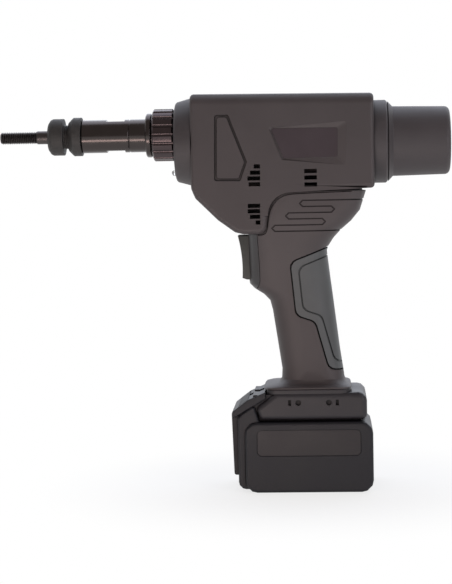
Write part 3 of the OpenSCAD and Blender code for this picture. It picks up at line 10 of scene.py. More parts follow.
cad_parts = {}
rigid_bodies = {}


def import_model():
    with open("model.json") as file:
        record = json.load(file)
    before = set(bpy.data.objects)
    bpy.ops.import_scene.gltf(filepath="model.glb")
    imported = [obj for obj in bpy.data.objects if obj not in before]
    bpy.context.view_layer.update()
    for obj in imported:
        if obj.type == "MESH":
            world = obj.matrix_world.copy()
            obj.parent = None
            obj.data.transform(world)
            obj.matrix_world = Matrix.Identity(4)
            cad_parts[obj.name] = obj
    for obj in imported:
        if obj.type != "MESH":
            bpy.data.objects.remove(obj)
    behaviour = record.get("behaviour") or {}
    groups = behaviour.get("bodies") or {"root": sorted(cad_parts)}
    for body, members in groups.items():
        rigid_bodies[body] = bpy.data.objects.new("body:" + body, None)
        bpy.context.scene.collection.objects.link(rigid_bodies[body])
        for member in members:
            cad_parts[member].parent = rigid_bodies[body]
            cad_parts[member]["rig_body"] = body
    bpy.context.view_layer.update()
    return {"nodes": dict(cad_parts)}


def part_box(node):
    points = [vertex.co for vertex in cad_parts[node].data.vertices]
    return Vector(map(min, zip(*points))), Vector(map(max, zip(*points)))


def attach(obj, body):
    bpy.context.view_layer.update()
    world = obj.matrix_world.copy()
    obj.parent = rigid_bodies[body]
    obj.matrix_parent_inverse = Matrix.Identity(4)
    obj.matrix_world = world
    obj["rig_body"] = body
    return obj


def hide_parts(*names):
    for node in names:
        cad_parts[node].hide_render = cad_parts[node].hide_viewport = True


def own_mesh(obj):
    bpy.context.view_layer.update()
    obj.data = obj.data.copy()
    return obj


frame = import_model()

scene = bpy.context.scene
scene.view_settings.view_transform = "Standard"


# Studio: a sheet of matt white paper for a floor in front of a white backdrop, in a dimmer room.
# The paper is a lit surface, so the tool's shadow lies on it. The camera, gloss and the clear
# lens see the backdrop white, while the room behind the camera stays a soft warm grey in gloss.
def linear(hex_colour):
    """An sRGB hex colour as linear red, green, blue and alpha."""
    parts = [int(hex_colour[i:i + 2], 16) / 255 for i in (1, 3, 5)]
    return [c / 12.92 if c <= 0.04045 else ((c + 0.055) / 1.055) ** 2.4 for c in parts] + [1.0]


def node(tree, kind, links=(), **settings):
    """A new node; in_N sets the value of input N, and links feeds inputs from outputs."""
    made = tree.nodes.new(kind)
    for key, value in settings.items():
        if key.startswith("in_"):
            made.inputs[int(key[3:])].default_value = value
        else:
            setattr(made, key, value)
    for socket, source in dict(links).items():
        tree.links.new(source, made.inputs[socket])
    return made


def plainly_seen(tree):
    """Two switches: is a ray from the camera or through the clear lens, and is it from gloss."""
    path = node(tree, "ShaderNodeLightPath").outputs
    looked = node(tree, "ShaderNodeMath", {0: path["Is Camera Ray"], 1: path["Is Transmission Ray"]},
                  operation="MAXIMUM")
    return looked.outputs[0], path["Is Glossy Ray"]


floor_half = 6.0
floor_mesh = bpy.data.meshes.new("paper_floor")
floor_mesh.from_pydata(
    [(-floor_half, -floor_half, 0), (floor_half, -floor_half, 0),
     (floor_half, floor_half, 0), (-floor_half, floor_half, 0)], [], [(0, 1, 2, 3)])
paper_floor = bpy.data.objects.new("paper_floor", floor_mesh)
scene.collection.objects.link(paper_floor)
paper = bpy.data.materials.new("matt_white_paper")
paper.use_nodes = True
tree = paper.node_tree
sheet = tree.nodes["Principled BSDF"]
sheet.inputs["Base Color"].default_value = linear("#f4f2ee")
sheet.inputs["Roughness"].default_value = 0.9
sheet.inputs["Specular IOR Level"].default_value = 0.1
looked, glossy = plainly_seen(tree)
mirrored = node(tree, "ShaderNodeMath", {0: looked, 1: glossy}, operation="MAXIMUM")
place = node(tree, "ShaderNodeTexCoord").outputs["Object"]
far = node(tree, "ShaderNodeVectorMath", {0: place}, operation="LENGTH")
shadow_near, shadow_far, shadow_glow = 0.08, 0.24, 0.75
fade = node(tree, "ShaderNodeMapRange", {0: far.outputs["Value"]}, interpolation_type="SMOOTHSTEP",
            in_1=shadow_near, in_2=shadow_far, in_3=shadow_glow, in_4=1.0)
amount = node(tree, "ShaderNodeMath", {0: mirrored.outputs[0], 1: fade.outputs[0]}, operation="MULTIPLY")
glow = node(tree, "ShaderNodeEmission", in_0=(1, 1, 1, 1), in_1=1.0)
pale = node(tree, "ShaderNodeMixShader", {0: amount.outputs[0], 1: sheet.outputs[0], 2: glow.outputs[0]})
tree.links.new(pale.outputs[0], tree.nodes["Material Output"].inputs[0])
floor_mesh.materials.append(paper)

world = bpy.data.worlds.new("white_backdrop")
scene.world = world
world.use_nodes = True
tree = world.node_tree
tree.nodes.clear()
looked, glossy = plainly_seen(tree)
ways = node(tree, "ShaderNodeSeparateXYZ", {0: node(tree, "ShaderNodeTexCoord").outputs["Generated"]})
behind = node(tree, "ShaderNodeMapRange", {0: ways.outputs["Y"]}, in_1=-0.1, in_2=0.4, in_3=0.0, in_4=1.0)
mirrored = node(tree, "ShaderNodeMath", {0: glossy, 1: behind.outputs[0]}, operation="MULTIPLY")
white = node(tree, "ShaderNodeMath", {0: looked, 1: mirrored.outputs[0]}, operation="MAXIMUM")
tint = node(tree, "ShaderNodeMix", {0: behind.outputs[0]}, data_type="RGBA",
            in_6=linear("#a59d9a"), in_7=linear("#e2e9f6"))
room = node(tree, "ShaderNodeBackground", {0: tint.outputs[2]}, in_1=1.0)
backdrop = node(tree, "ShaderNodeBackground", in_0=(1, 1, 1, 1), in_1=1.0)
mixed = node(tree, "ShaderNodeMixShader", {0: white.outputs[0], 1: room.outputs[0], 2: backdrop.outputs[0]})
node(tree, "ShaderNodeOutputWorld", {0: mixed.outputs[0]})


def soft_box(name, place, target, width, height, power, hex_colour):
    """A rectangular lamp that faces a target, of a power in watts."""
    lamp = bpy.data.lights.new(name, "AREA")
    lamp.shape = "RECTANGLE"
    lamp.size = width
    lamp.size_y = height
    lamp.energy = power
    lamp.color = linear(hex_colour)[:3]
    holder = bpy.data.objects.new(name, lamp)
    holder.location = place
    holder.rotation_euler = (Vector(target) - Vector(place)).to_track_quat("-Z", "Y").to_euler()
    scene.collection.objects.link(holder)


middle = (-0.02, 0.0, 0.19)
soft_box("top_box", (-0.1, 0.55, 1.35), middle,
         width=1.8, height=0.9, power=7, hex_colour="#dfe8ff")
soft_box("back_box", (0.2, 1.5, 0.9), middle,
         width=2.4, height=1.2, power=9, hex_colour="#dfe9ff")
soft_box("low_box", (-0.16, -0.42, 0.015), (-0.16, 0.0, 0.29),
         width=0.4, height=0.1, power=1.0, hex_colour="#ffe9e2")
soft_box("side_box", (0.95, -1.1, 0.5), middle,
         width=0.5, height=1.0, power=6, hex_colour="#f4f4ff")

# Camera: a long lens 1.42 m from the tool's middle plane, fitted to the outlines in the photograph.
# One of the picture's 584 rows is 0.82 mm there, and the camera is turned, tipped and rolled a little.
yaw, pitch, roll = math.radians(3.4), math.radians(3.8), math.radians(1.1)
distance, row_size, picture_rows = 1.42, 0.00082, 584
lens_x, lens_z = 0.0176, 0.2553
forward = Vector((-math.sin(yaw) * math.cos(pitch), math.cos(yaw) * math.cos(pitch), -math.sin(pitch)))
right = forward.cross(Vector((0, 0, 1))).normalized()
up = right.cross(forward)
picture_right = math.cos(roll) * right - math.sin(roll) * up
picture_up = math.sin(roll) * right + math.cos(roll) * up
lens = bpy.data.cameras.new("camera")
lens.sensor_fit = "VERTICAL"
lens.sensor_height = 36.0
lens.lens = lens.sensor_height * (distance / row_size) / picture_rows
camera = bpy.data.objects.new("camera", lens)
camera.matrix_world = Matrix((
    (picture_right.x, picture_up.x, -forward.x, lens_x),
    (picture_right.y, picture_up.y, -forward.y, -distance),
    (picture_right.z, picture_up.z, -forward.z, lens_z),
    (0, 0, 0, 1)))
scene.collection.objects.link(camera)
scene.camera = camera


# Motor: a brushed motor in a rolled steel can, with ferrite arcs, a wound rotor, a copper
# commutator, a phenolic brush plate and a nylon fan. It is pressed into the motor case.
def finish(name):
    """A new material, its tree, its shader and the place that its patterns read."""
    material = bpy.data.materials.new(name)
    material.use_nodes = True
    tree = material.node_tree
    return material, tree, tree.nodes["Principled BSDF"], node(tree, "ShaderNodeTexCoord").outputs["Object"]


noise_range = {"in_1": 0.3, "in_2": 0.7}
# Painted shade in grooves: how far the ambient occlusion looks, the part of its range that is mapped, and
# the reflection left at a groove's bottom.
groove_reach = 0.003
groove_range = {"in_1": 0.35, "in_2": 0.9}
groove_shine = 0.15


def surface(name, tones, cloud, gloss, grain, depth, metallic=0.0, painted_groove_shade=None, shine=0.5):
    """A finish whose tone and gloss wander over clouds of one size, with a relief of another, its grain.
    Grain that is finer than a row of the picture is drawn at about 1 mm, so that it shows.
    The painted shade in grooves sets how dark the tone gets at the bottom of narrow grooves, gaps and
    holes, where ambient occlusion darkens the tone and lowers the reflection, and shine is how much it
    reflects."""
    material, tree, shader, place = finish(name)
    shader.inputs["Specular IOR Level"].default_value = shine
    clouds = node(tree, "ShaderNodeTexNoise", {0: place}, in_2=1 / cloud, in_3=3.0)
    spread = node(tree, "ShaderNodeMapRange", {0: clouds.outputs[0]}, **noise_range, in_3=0.0, in_4=1.0)
    tone = node(tree, "ShaderNodeMix", {0: spread.outputs[0]}, data_type="RGBA",
                in_6=linear(tones[0]), in_7=linear(tones[1]))
    dull = node(tree, "ShaderNodeMapRange", {0: clouds.outputs[0]}, **noise_range,
                in_3=gloss[0], in_4=gloss[1])
    relief = node(tree, "ShaderNodeTexNoise", {0: place}, in_2=1 / grain, in_3=1.5)
    bump = node(tree, "ShaderNodeBump", {"Height": relief.outputs[0]}, in_0=1.0, in_1=depth)
    colour = tone.outputs[2]
    # Painted shade: where ambient occlusion finds narrow grooves, gaps and holes, the tone is darkened and
    # the reflection lowered.
    if painted_groove_shade is not None:
        hollow = node(tree, "ShaderNodeAmbientOcclusion", in_1=groove_reach).outputs["AO"]
        shade = node(tree, "ShaderNodeMapRange", {0: hollow}, **groove_range, in_3=painted_groove_shade, in_4=1.0)
        colour = node(tree, "ShaderNodeMix", {6: colour, 7: shade.outputs[0]}, data_type="RGBA",
                      blend_type="MULTIPLY", in_0=1.0).outputs[2]
        sheen = node(tree, "ShaderNodeMapRange", {0: hollow}, **groove_range, in_3=groove_shine, in_4=shine)
        tree.links.new(sheen.outputs[0], shader.inputs["Specular IOR Level"])
    tree.links.new(colour, shader.inputs["Base Color"])
    tree.links.new(dull.outputs[0], shader.inputs["Roughness"])
    tree.links.new(bump.outputs[0], shader.inputs["Normal"])
    shader.inputs["Metallic"].default_value = metallic
    return material


def coat(material, *names):
    """Puts a finish on CAD nodes whose shape stays as it is."""
    for name in names:
        skin = frame["nodes"][name].data
        skin.materials.clear()
        skin.materials.append(material)


# Zinc plating over drawn steel: pale, a little cloudy, with the drawing's faint orange peel.
zinc_steel = surface("zinc_plated_steel", ("#9a9b9c", "#b4b5b6"), cloud=0.006, gloss=(0.28, 0.42),
                     grain=0.0012, depth=2e-5, metallic=1.0)
coat(zinc_steel, "motor_can")
# Sintered ferrite: almost black, dull, with the grain of pressed powder.
ferrite = surface("sintered_ferrite", ("#2a2a2b", "#343436"), cloud=0.003, gloss=(0.6, 0.75),
                  grain=0.0008, depth=4e-5)
coat(ferrite, "magnets")
# Phenolic and glass nylon of the plates: near black with a faint moulding sheen.
black_phenolic = surface("black_phenolic", ("#1d1e20", "#27282b"), cloud=0.008, gloss=(0.42, 0.55),
                         grain=0.0009, depth=2e-5)
coat(black_phenolic, "brush_plate", "motor_end_bell")
fan_nylon = surface("fan_nylon", ("#232325", "#2d2d30"), cloud=0.008, gloss=(0.45, 0.6),
                    grain=0.0009, depth=2e-5)
coat(fan_nylon, "fan")

# Rotor: stamped laminations 0.5 mm thick between two heads of enamelled copper wire of 0.6 mm.
# Both are drawn at twice that so that they show.
rotor, tree, shader, place = finish("wound_rotor")
stack_low, stack_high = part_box("armature")
ways = node(tree, "ShaderNodeSeparateXYZ", {0: place})
stack_middle = (stack_low.x + stack_high.x) / 2
from_middle = node(tree, "ShaderNodeMath", {0: ways.outputs["X"]}, operation="SUBTRACT", in_1=stack_middle)
reach = node(tree, "ShaderNodeMath", {0: from_middle.outputs[0]}, operation="ABSOLUTE")
stack_half, sheet_pitch, wire_pitch = 0.014, 0.001, 0.0012
wave_period = 0.314  # one band of a wave texture at a scale of 1, in metres
wire = node(tree, "ShaderNodeMath", {0: reach.outputs[0]}, operation="GREATER_THAN", in_1=stack_half)
sheets = node(tree, "ShaderNodeTexWave", {0: place}, bands_direction="X",
              in_1=wave_period / sheet_pitch, in_2=0.0)
turns = node(tree, "ShaderNodeTexWave", {0: place}, bands_direction="DIAGONAL",
             in_1=wave_period / wire_pitch, in_2=1.0)
steel = node(tree, "ShaderNodeMix", {0: sheets.outputs[1]}, data_type="RGBA",
             in_6=linear("#5c5d60"), in_7=linear("#8b8c90"))
copper = node(tree, "ShaderNodeMix", {0: turns.outputs[1]}, data_type="RGBA",
              in_6=linear("#7d3f1d"), in_7=linear("#c87a45"))
tone = node(tree, "ShaderNodeMix", {0: wire.outputs[0], 6: steel.outputs[2], 7: copper.outputs[2]},
            data_type="RGBA")
ridge = node(tree, "ShaderNodeMix", {0: wire.outputs[0], 2: sheets.outputs[1], 3: turns.outputs[1]},
             data_type="FLOAT")
bump = node(tree, "ShaderNodeBump", {"Height": ridge.outputs[0]}, in_0=1.0, in_1=1e-4)
tree.links.new(tone.outputs[2], shader.inputs["Base Color"])
tree.links.new(bump.outputs[0], shader.inputs["Normal"])
shader.inputs["Metallic"].default_value = 1.0
shader.inputs["Roughness"].default_value = 0.38
coat(rotor, "armature")


# Bearings: rings of through-hardened steel, turned, ground and pressed into their seats.
# The grinding leaves fine rings round the axis, 0.1 mm apart, drawn at 0.8 mm so that they show.
turned_cloud = 0.009


def turned(name, tones, gloss, feed, depth):
    """A metal turned about the X axis: rings of one feed over slow clouds of tone and gloss."""
    material, tree, shader, place = finish(name)
    rings = node(tree, "ShaderNodeTexWave", {0: place}, bands_direction="X",
                 in_1=wave_period / feed, in_2=0.6, in_3=2.0)
    clouds = node(tree, "ShaderNodeTexNoise", {0: place}, in_2=1 / turned_cloud, in_3=4.0)
    tone = node(tree, "ShaderNodeMix", {0: clouds.outputs[0]}, data_type="RGBA",
                in_6=linear(tones[0]), in_7=linear(tones[1]))
    dull = node(tree, "ShaderNodeMapRange", {0: clouds.outputs[0]}, **noise_range,
                in_3=gloss[0], in_4=gloss[1])
    bump = node(tree, "ShaderNodeBump", {"Height": rings.outputs[1]}, in_0=1.0, in_1=depth)
    tree.links.new(tone.outputs[2], shader.inputs["Base Color"])
    tree.links.new(dull.outputs[0], shader.inputs["Roughness"])
    tree.links.new(bump.outputs[0], shader.inputs["Normal"])
    shader.inputs["Metallic"].default_value = 1.0
    return material


ground_steel = turned("ground_bearing_steel", ("#a9a9a8", "#c0c0bf"), gloss=(0.18, 0.3),
                      feed=0.0008, depth=6e-6)
coat(ground_steel, "motor_bearings", "output_bearing", "thrust_bearing", "nut_bearing")
# Copper bars of the commutator, turned true after pressing.
commutator_copper = turned("turned_copper", ("#a35a30", "#c98253"), gloss=(0.25, 0.36),
                           feed=0.0008, depth=8e-6)
coat(commutator_copper, "commutator")

# Gears: hobbed from alloy steel, case hardened and shot cleaned, so a dull dark grey.
# The sun sits on the rotor's shaft, three planets run in the ring, and the pinion turns the nut.
gear_steel = surface("case_hardened_steel", ("#6b6a69", "#7f7e7c"), cloud=0.004, gloss=(0.32, 0.5),
                     grain=0.0009, depth=1.5e-5, metallic=1.0)
coat(gear_steel, "sun_gear", "planet_gear_1", "planet_gear_2", "planet_gear_3", "ring_gear",
     "planet_carrier", "output_pinion", "drive_gear")

# Ball screw, its nut and the swivel coupling: ground steel with a light oil film.
# The screw pulls the mandrel back by 7 mm when the nut turns.
oiled_steel = turned("oiled_ground_steel", ("#8f8e8b", "#a9a8a5"), gloss=(0.16, 0.28),
                     feed=0.0009, depth=8e-6)
coat(oiled_steel, "ball_screw", "ball_nut", "mandrel_coupling")

# Gear plate: cast aluminium, faced and bored, which holds the output bearing.
# Three blackened screws hold it to the front case.
cast_alloy = surface("faced_cast_aluminium", ("#a3a5a8", "#b9bbbe"), cloud=0.005, gloss=(0.34, 0.5),
                     grain=0.0008, depth=1.5e-5, metallic=1.0)
coat(cast_alloy, "gear_plate")
# The screws' oxide is thin, and a little worn to grey in patches.
blackened_steel = surface("blackened_screw_steel", ("#2b2c2e", "#3c3d40"), cloud=0.002, gloss=(0.38, 0.52),
                          grain=0.0006, depth=1e-5, metallic=1.0)
coat(blackened_steel, "case_screws")


# Front case, motor case and rear cap: round mouldings of glass-filled nylon with a satin skin.
# The front case carries the nose, the motor case shows as a collar and the rear cap closes the motor.
smooth_angle = 36
crisp_angle, flat_angle = math.radians(6), math.radians(0.6)
weld_reach = 3e-6


def dressed(name, material, angle=smooth_angle, edge=0.0, crisp=(), plugged=()):
    """A merged copy of a CAD solid that stands for it, smooth over bends below an angle in degrees.
    Sharper edges are broken by up to edge, as far as the short edges beside them leave room.
    Crisp boxes keep every bend, and upright holes named in plugged (x, y, radius) are closed."""
    solid = frame["nodes"][name]
    shape = bmesh.new()
    shape.from_mesh(solid.data)
    bmesh.ops.remove_doubles(shape, verts=shape.verts, dist=weld_reach)
    for x, y, r in plugged:
        walls = [f for f in shape.faces if all(math.hypot(v.co.x - x, v.co.y - y) < r for v in f.verts)]
        bmesh.ops.delete(shape, geom=walls, context="FACES")
        bmesh.ops.holes_fill(shape, edges=[e for e in shape.edges if e.is_boundary])
    bmesh.ops.dissolve_limit(shape, angle_limit=flat_angle, verts=shape.verts, edges=shape.edges)
    limit = math.radians(angle)
    for face in shape.faces:
        face.smooth = True
    for line in shape.edges:
        bend = line.calc_face_angle(0.0)
        at = (line.verts[0].co + line.verts[1].co) / 2
        inside = any(all(low[k] < at[k] < high[k] for k in range(3)) for low, high in crisp)
        line.smooth = bend < (crisp_angle if inside else limit)
    mesh = bpy.data.meshes.new(name + "_skin")
    shape.to_mesh(mesh)
    shape.free()
    mesh.materials.append(material)
    skin = bpy.data.objects.new(name + "_skin", mesh)
    scene.collection.objects.link(skin)
    if edge:
        bevel = skin.modifiers.new("broken_edge", "BEVEL")
        bevel.width = edge
        bevel.segments = 2
        bevel.limit_method = "ANGLE"
        bevel.angle_limit = limit
    even = skin.modifiers.new("even_shading", "WEIGHTED_NORMAL")
    even.keep_sharp = True
    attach(skin, solid["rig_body"])
    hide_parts(name)
    return skin


satin_nylon = surface("satin_glass_nylon", ("#373233", "#3d3839"), cloud=0.03, gloss=(0.52, 0.6),
                      grain=0.0011, depth=1.2e-5, painted_groove_shade=0.3)
dressed("front_case", satin_nylon, angle=24, edge=0.0004)
dressed("motor_case", satin_nylon, angle=24, edge=0.0004)
dressed("rear_cap", satin_nylon, angle=24, edge=0.0004)

# Nose sleeve, collar and stroke ring: alloy steel, turned, hot blacked and oiled to a deep gloss.
# Gloss shows the low strip of light as one long band, and the oil gives it a brown cast.
blued_steel = turned("hot_blacked_steel", ("#443f3e", "#4a4544"), gloss=(0.17, 0.24),
                     feed=0.0009, depth=3e-6)
dressed("nose_sleeve", blued_steel, angle=24, edge=0.0002)
dressed("collar_ring", blued_steel, angle=24, edge=0.0003)
ring_steel = turned("hot_blacked_ring", ("#463e3f", "#4f4647"), gloss=(0.2, 0.28),
                    feed=0.0009, depth=5e-6)
dressed("stroke_ring", ring_steel, angle=24, edge=0.0003)

# Jam nut and nosepiece: turned steel with a manganese phosphate skin, which is matt and crystalline.
# The nosepiece screws into the sleeve and the jam nut locks it there.
phosphate = surface("manganese_phosphate", ("#2c2a29", "#373533"), cloud=0.004, gloss=(0.5, 0.66),
                    grain=0.0009, depth=3e-5, shine=0.35)
dressed("jam_nut", phosphate, angle=24, edge=0.0003)
dressed("nosepiece", phosphate, angle=24, edge=0.0003)


# Mandrel: a hardened screw with a rolled M10 x 1.5 thread, 30 mm long, on a plain shank.
# The thread is grown from its pitch and its crest and root, and the nosepiece stem gets one too.
merge_reach = 1e-6
grown_angle, lathe_angle = math.radians(34), math.radians(24)


def growing(name, result, sizes):
    """A new tree of geometry nodes with one result and named sizes, and the outputs that give the sizes."""
    tree = bpy.data.node_groups.new(name, "GeometryNodeTree")
    tree.interface.new_socket(name=result, in_out="OUTPUT", socket_type="NodeSocketGeometry")
    for label, kind in sizes.items():
        tree.interface.new_socket(name=label, in_out="INPUT", socket_type="NodeSocket" + kind)
    return tree, node(tree, "NodeGroupInput").outputs


def harvest(tree, shape, steel):
    """Ends a tree: its shape becomes one mesh with one finish."""
    real = node(tree, "GeometryNodeRealizeInstances", {0: shape})
    coated = node(tree, "GeometryNodeSetMaterial", {0: real.outputs[0], "Material": steel})
    node(tree, "NodeGroupOutput", {0: coated.outputs[0]})


def grown(name, tree, body, sizes, base=None):
    """A plain mesh that a tree of geometry nodes makes from named sizes, riding on a body."""
    piece = bpy.data.objects.new(name, base or bpy.data.meshes.new(name + "_base"))
    scene.collection.objects.link(piece)
    growth = piece.modifiers.new("growth", "NODES")
    growth.node_group = tree
    for item in tree.interface.items_tree:
        if item.in_out == "INPUT" and item.name in sizes:
            growth[item.identifier] = sizes[item.name]
    bpy.context.view_layer.update()
    mesh = bpy.data.meshes.new_from_object(piece.evaluated_get(bpy.context.evaluated_depsgraph_get()))
    piece.modifiers.remove(growth)
    shape = bmesh.new()
    shape.from_mesh(mesh)
    bmesh.ops.remove_doubles(shape, verts=shape.verts, dist=merge_reach)
    bmesh.ops.dissolve_degenerate(shape, dist=merge_reach, edges=shape.edges)
    # An end where the last turn runs out is cleared of folded faces and closed again with one flat face.
    for end in {round(e.verts[0].co.x, 6) for e in shape.edges if len(e.link_faces) != 2}:
        flat = [f for f in shape.faces if all(abs(v.co.x - end) < 2 * merge_reach for v in f.verts)]
        bmesh.ops.delete(shape, geom=flat, context="FACES")
    bmesh.ops.holes_fill(shape, edges=[e for e in shape.edges if e.is_boundary])
    bmesh.ops.recalc_face_normals(shape, faces=shape.faces)
    for line in shape.edges:
        line.smooth = line.calc_face_angle(0.0) < grown_angle
    shape.to_mesh(mesh)
    shape.free()
    mesh.name = name
    piece.data = mesh
    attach(piece, body)
    return piece


rolled_thread, given = growing("rolled_thread", "Thread", {
    "Start": "Vector", "Pitch": "Float", "Turns": "Int", "Crest Radius": "Float", "Root Radius": "Float",
    "End Radius": "Float", "Steel": "Material"})
tree = rolled_thread
facets, rows, flat_share = 48, 8, 0.06
length = node(tree, "ShaderNodeMath", {0: given["Pitch"], 1: given["Turns"]},
              operation="MULTIPLY").outputs[0]
total = node(tree, "ShaderNodeMath", {0: length, 1: given["Pitch"]}, operation="ADD").outputs[0]
count = node(tree, "ShaderNodeMath", {0: given["Turns"]}, operation="MULTIPLY_ADD",
             in_1=rows, in_2=rows + 1).outputs[0]
sheet = node(tree, "GeometryNodeMeshGrid", {3: count}, in_0=1.0, in_1=1.0, in_2=facets + 1)
at = node(tree, "ShaderNodeSeparateXYZ", {0: node(tree, "GeometryNodeInputPosition").outputs[0]}).outputs
around = node(tree, "ShaderNodeMath", {0: at["X"]}, operation="ADD", in_1=0.5).outputs[0]
angle = node(tree, "ShaderNodeMath", {0: around}, operation="MULTIPLY", in_1=2 * math.pi).outputs[0]
share = node(tree, "ShaderNodeMath", {0: at["Y"]}, operation="ADD", in_1=0.5).outputs[0]
along = node(tree, "ShaderNodeMath", {0: share, 1: total}, operation="MULTIPLY").outputs[0]
lead = node(tree, "ShaderNodeMath", {0: around}, operation="SUBTRACT", in_1=1.0).outputs[0]
climb = node(tree, "ShaderNodeMath", {0: lead, 1: given["Pitch"], 2: along},
             operation="MULTIPLY_ADD").outputs[0]
kept = node(tree, "ShaderNodeClamp", {0: climb, 2: length}, in_1=0.0).outputs[0]
phase = node(tree, "ShaderNodeMath", {0: along, 1: given["Pitch"]}, operation="DIVIDE").outputs[0]
wave = node(tree, "ShaderNodeMath", {0: phase}, operation="PINGPONG", in_1=0.5).outputs[0]
flank = node(tree, "ShaderNodeMapRange", {0: wave},
             in_1=flat_share, in_2=0.5 - flat_share, in_3=0.0, in_4=1.0).outputs[0]
depth = node(tree, "ShaderNodeMath", {0: given["Crest Radius"], 1: given["Root Radius"]},
             operation="SUBTRACT").outputs[0]
swell = node(tree, "ShaderNodeMath", {0: flank, 1: depth, 2: given["Root Radius"]},
             operation="MULTIPLY_ADD").outputs[0]
bevelled = node(tree, "ShaderNodeMath", {0: kept, 1: given["End Radius"]}, operation="ADD").outputs[0]
radius = node(tree, "ShaderNodeMath", {0: swell, 1: bevelled}, operation="MINIMUM").outputs[0]
cosine = node(tree, "ShaderNodeMath", {0: angle}, operation="COSINE").outputs[0]
sine = node(tree, "ShaderNodeMath", {0: angle}, operation="SINE").outputs[0]
side = node(tree, "ShaderNodeMath", {0: radius, 1: cosine}, operation="MULTIPLY").outputs[0]
rise = node(tree, "ShaderNodeMath", {0: radius, 1: sine}, operation="MULTIPLY").outputs[0]
spot = node(tree, "ShaderNodeCombineXYZ", {0: kept, 1: side, 2: rise}).outputs[0]
wound = node(tree, "GeometryNodeSetPosition", {0: sheet.outputs[0], "Position": spot})
turn = (math.pi / 2, 0.0, math.pi / 2)
tip_face = node(tree, "GeometryNodeMeshCircle", {1: given["End Radius"]}, fill_type="NGON", in_0=facets)
tip = node(tree, "GeometryNodeTransform", {0: tip_face.outputs[0]})
tip.inputs["Rotation"].default_value = turn
root_face = node(tree, "GeometryNodeMeshCircle", {1: given["Root Radius"]}, fill_type="NGON", in_0=facets)
root_place = node(tree, "ShaderNodeCombineXYZ", {0: length}).outputs[0]
root = node(tree, "GeometryNodeTransform", {0: root_face.outputs[0], "Translation": root_place})
root.inputs["Rotation"].default_value = turn
joined = node(tree, "GeometryNodeJoinGeometry")
for part in (root, tip, wound):
    tree.links.new(part.outputs[0], joined.inputs[0])
moved = node(tree, "GeometryNodeTransform", {0: joined.outputs[0], "Translation": given["Start"]})
harvest(tree, moved.outputs[0], given["Steel"])

# Hardened steel, blacked and lightly oiled: dark and satin, with faint rings.
mandrel_steel = turned("blacked_mandrel_steel", ("#474343", "#565150"), gloss=(0.3, 0.42),
                       feed=0.0008, depth=6e-6)
tip_low, tail_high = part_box("mandrel")
nose_y = (tip_low.y + tail_high.y) / 2
nose_z = (tip_low.z + tail_high.z) / 2
thread_pitch, thread_turns = 0.0015, 20
mandrel_thread = grown("mandrel_thread", rolled_thread, "mandrel", {
    "Start": (tip_low.x, nose_y, nose_z), "Pitch": thread_pitch, "Turns": thread_turns,
    "Crest Radius": 0.0050, "Root Radius": 0.00408, "End Radius": 0.0038, "Steel": mandrel_steel})
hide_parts("mandrel")


def lathe(name, profile, y, z, facets=64):
    """A closed turned mesh about an axis along X: the profile is pairs of place along X and radius."""
    shape = bmesh.new()
    rings = []
    for x, r in profile:
        if r == 0:
            rings.append([shape.verts.new((x, y, z))] * facets)
            continue
        rings.append([shape.verts.new((x, y + r * math.cos(2 * math.pi * k / facets),
                                       z + r * math.sin(2 * math.pi * k / facets))) for k in range(facets)])
    for a, b in zip(rings, rings[1:]):
        for k in range(facets):
            corners = [a[k], a[(k + 1) % facets], b[(k + 1) % facets], b[k]]
            shape.faces.new([v for i, v in enumerate(corners) if v not in corners[:i]])
    bmesh.ops.recalc_face_normals(shape, faces=shape.faces)
    for face in shape.faces:
        face.smooth = True
    for line in shape.edges:
        line.smooth = line.calc_face_angle(0.0) < lathe_angle
    mesh = bpy.data.meshes.new(name)
    shape.to_mesh(mesh)
    shape.free()
    piece = bpy.data.objects.new(name, mesh)
    scene.collection.objects.link(piece)
    return piece


shank_r = (tail_high.y - tip_low.y) / 2
shank_x = tip_low.x + thread_pitch * thread_turns
shoulder = ((0.0, 0.0007), (0.0003, 0.0002), (0.0007, 0.0))
tail_break = 0.0005
mandrel_shank = lathe("mandrel_shank", [
    (shank_x, 0), *((shank_x + run, shank_r - drop) for run, drop in shoulder),
    (tail_high.x - tail_break, shank_r), (tail_high.x, shank_r - tail_break), (tail_high.x, 0)],
    nose_y, nose_z)
mandrel_shank.data.materials.append(mandrel_steel)
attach(mandrel_shank, "mandrel")

# Thread of the nosepiece's stem, where it shows between the nosepiece's head and the jam nut.
# It is cut at a pitch of 1.25 mm and has the same phosphate skin.
stem_shown, stem_gap = 0.004, 0.0001
stem_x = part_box("jam_nut")[0].x - stem_shown + stem_gap
stem_r, crest_rise, root_drop = 0.0094, 0.00045, 0.0003
stem_thread = grown("nosepiece_thread", rolled_thread, "nosepiece", {
    "Start": (stem_x, nose_y, nose_z), "Pitch": 0.00125, "Turns": 3, "Crest Radius": stem_r + crest_rise,
    "Root Radius": stem_r - root_drop, "End Radius": stem_r - root_drop, "Steel": phosphate})

# Work light: a 5 mm clear epoxy dome that stands out of the front case below the nose.
# Its chip sits in a small cup of white plastic, which shows through the lens.
clear_epoxy, tree, shader, place = finish("clear_epoxy")
flow_size = 0.002
flow = node(tree, "ShaderNodeTexNoise", {0: place}, in_2=1 / flow_size, in_3=1.0)
haze = node(tree, "ShaderNodeMapRange", {0: flow.outputs[0]}, **noise_range, in_3=0.03, in_4=0.09)
tree.links.new(haze.outputs[0], shader.inputs["Roughness"])
shader.inputs["Base Color"].default_value = linear("#f6f8f9")
shader.inputs["Transmission Weight"].default_value = 0.85
shader.inputs["IOR"].default_value = 1.5
dressed("work_light", clear_epoxy, angle=30)
lamp_low, lamp_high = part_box("work_light")
lamp_y, lamp_z = (lamp_low.y + lamp_high.y) / 2, (lamp_low.z + lamp_high.z) / 2
dome_length, foot_length, cup_depth = 0.0026, 0.002, 0.0006
cup_share, floor_share, rim_share = 0.8, 0.35, 0.92
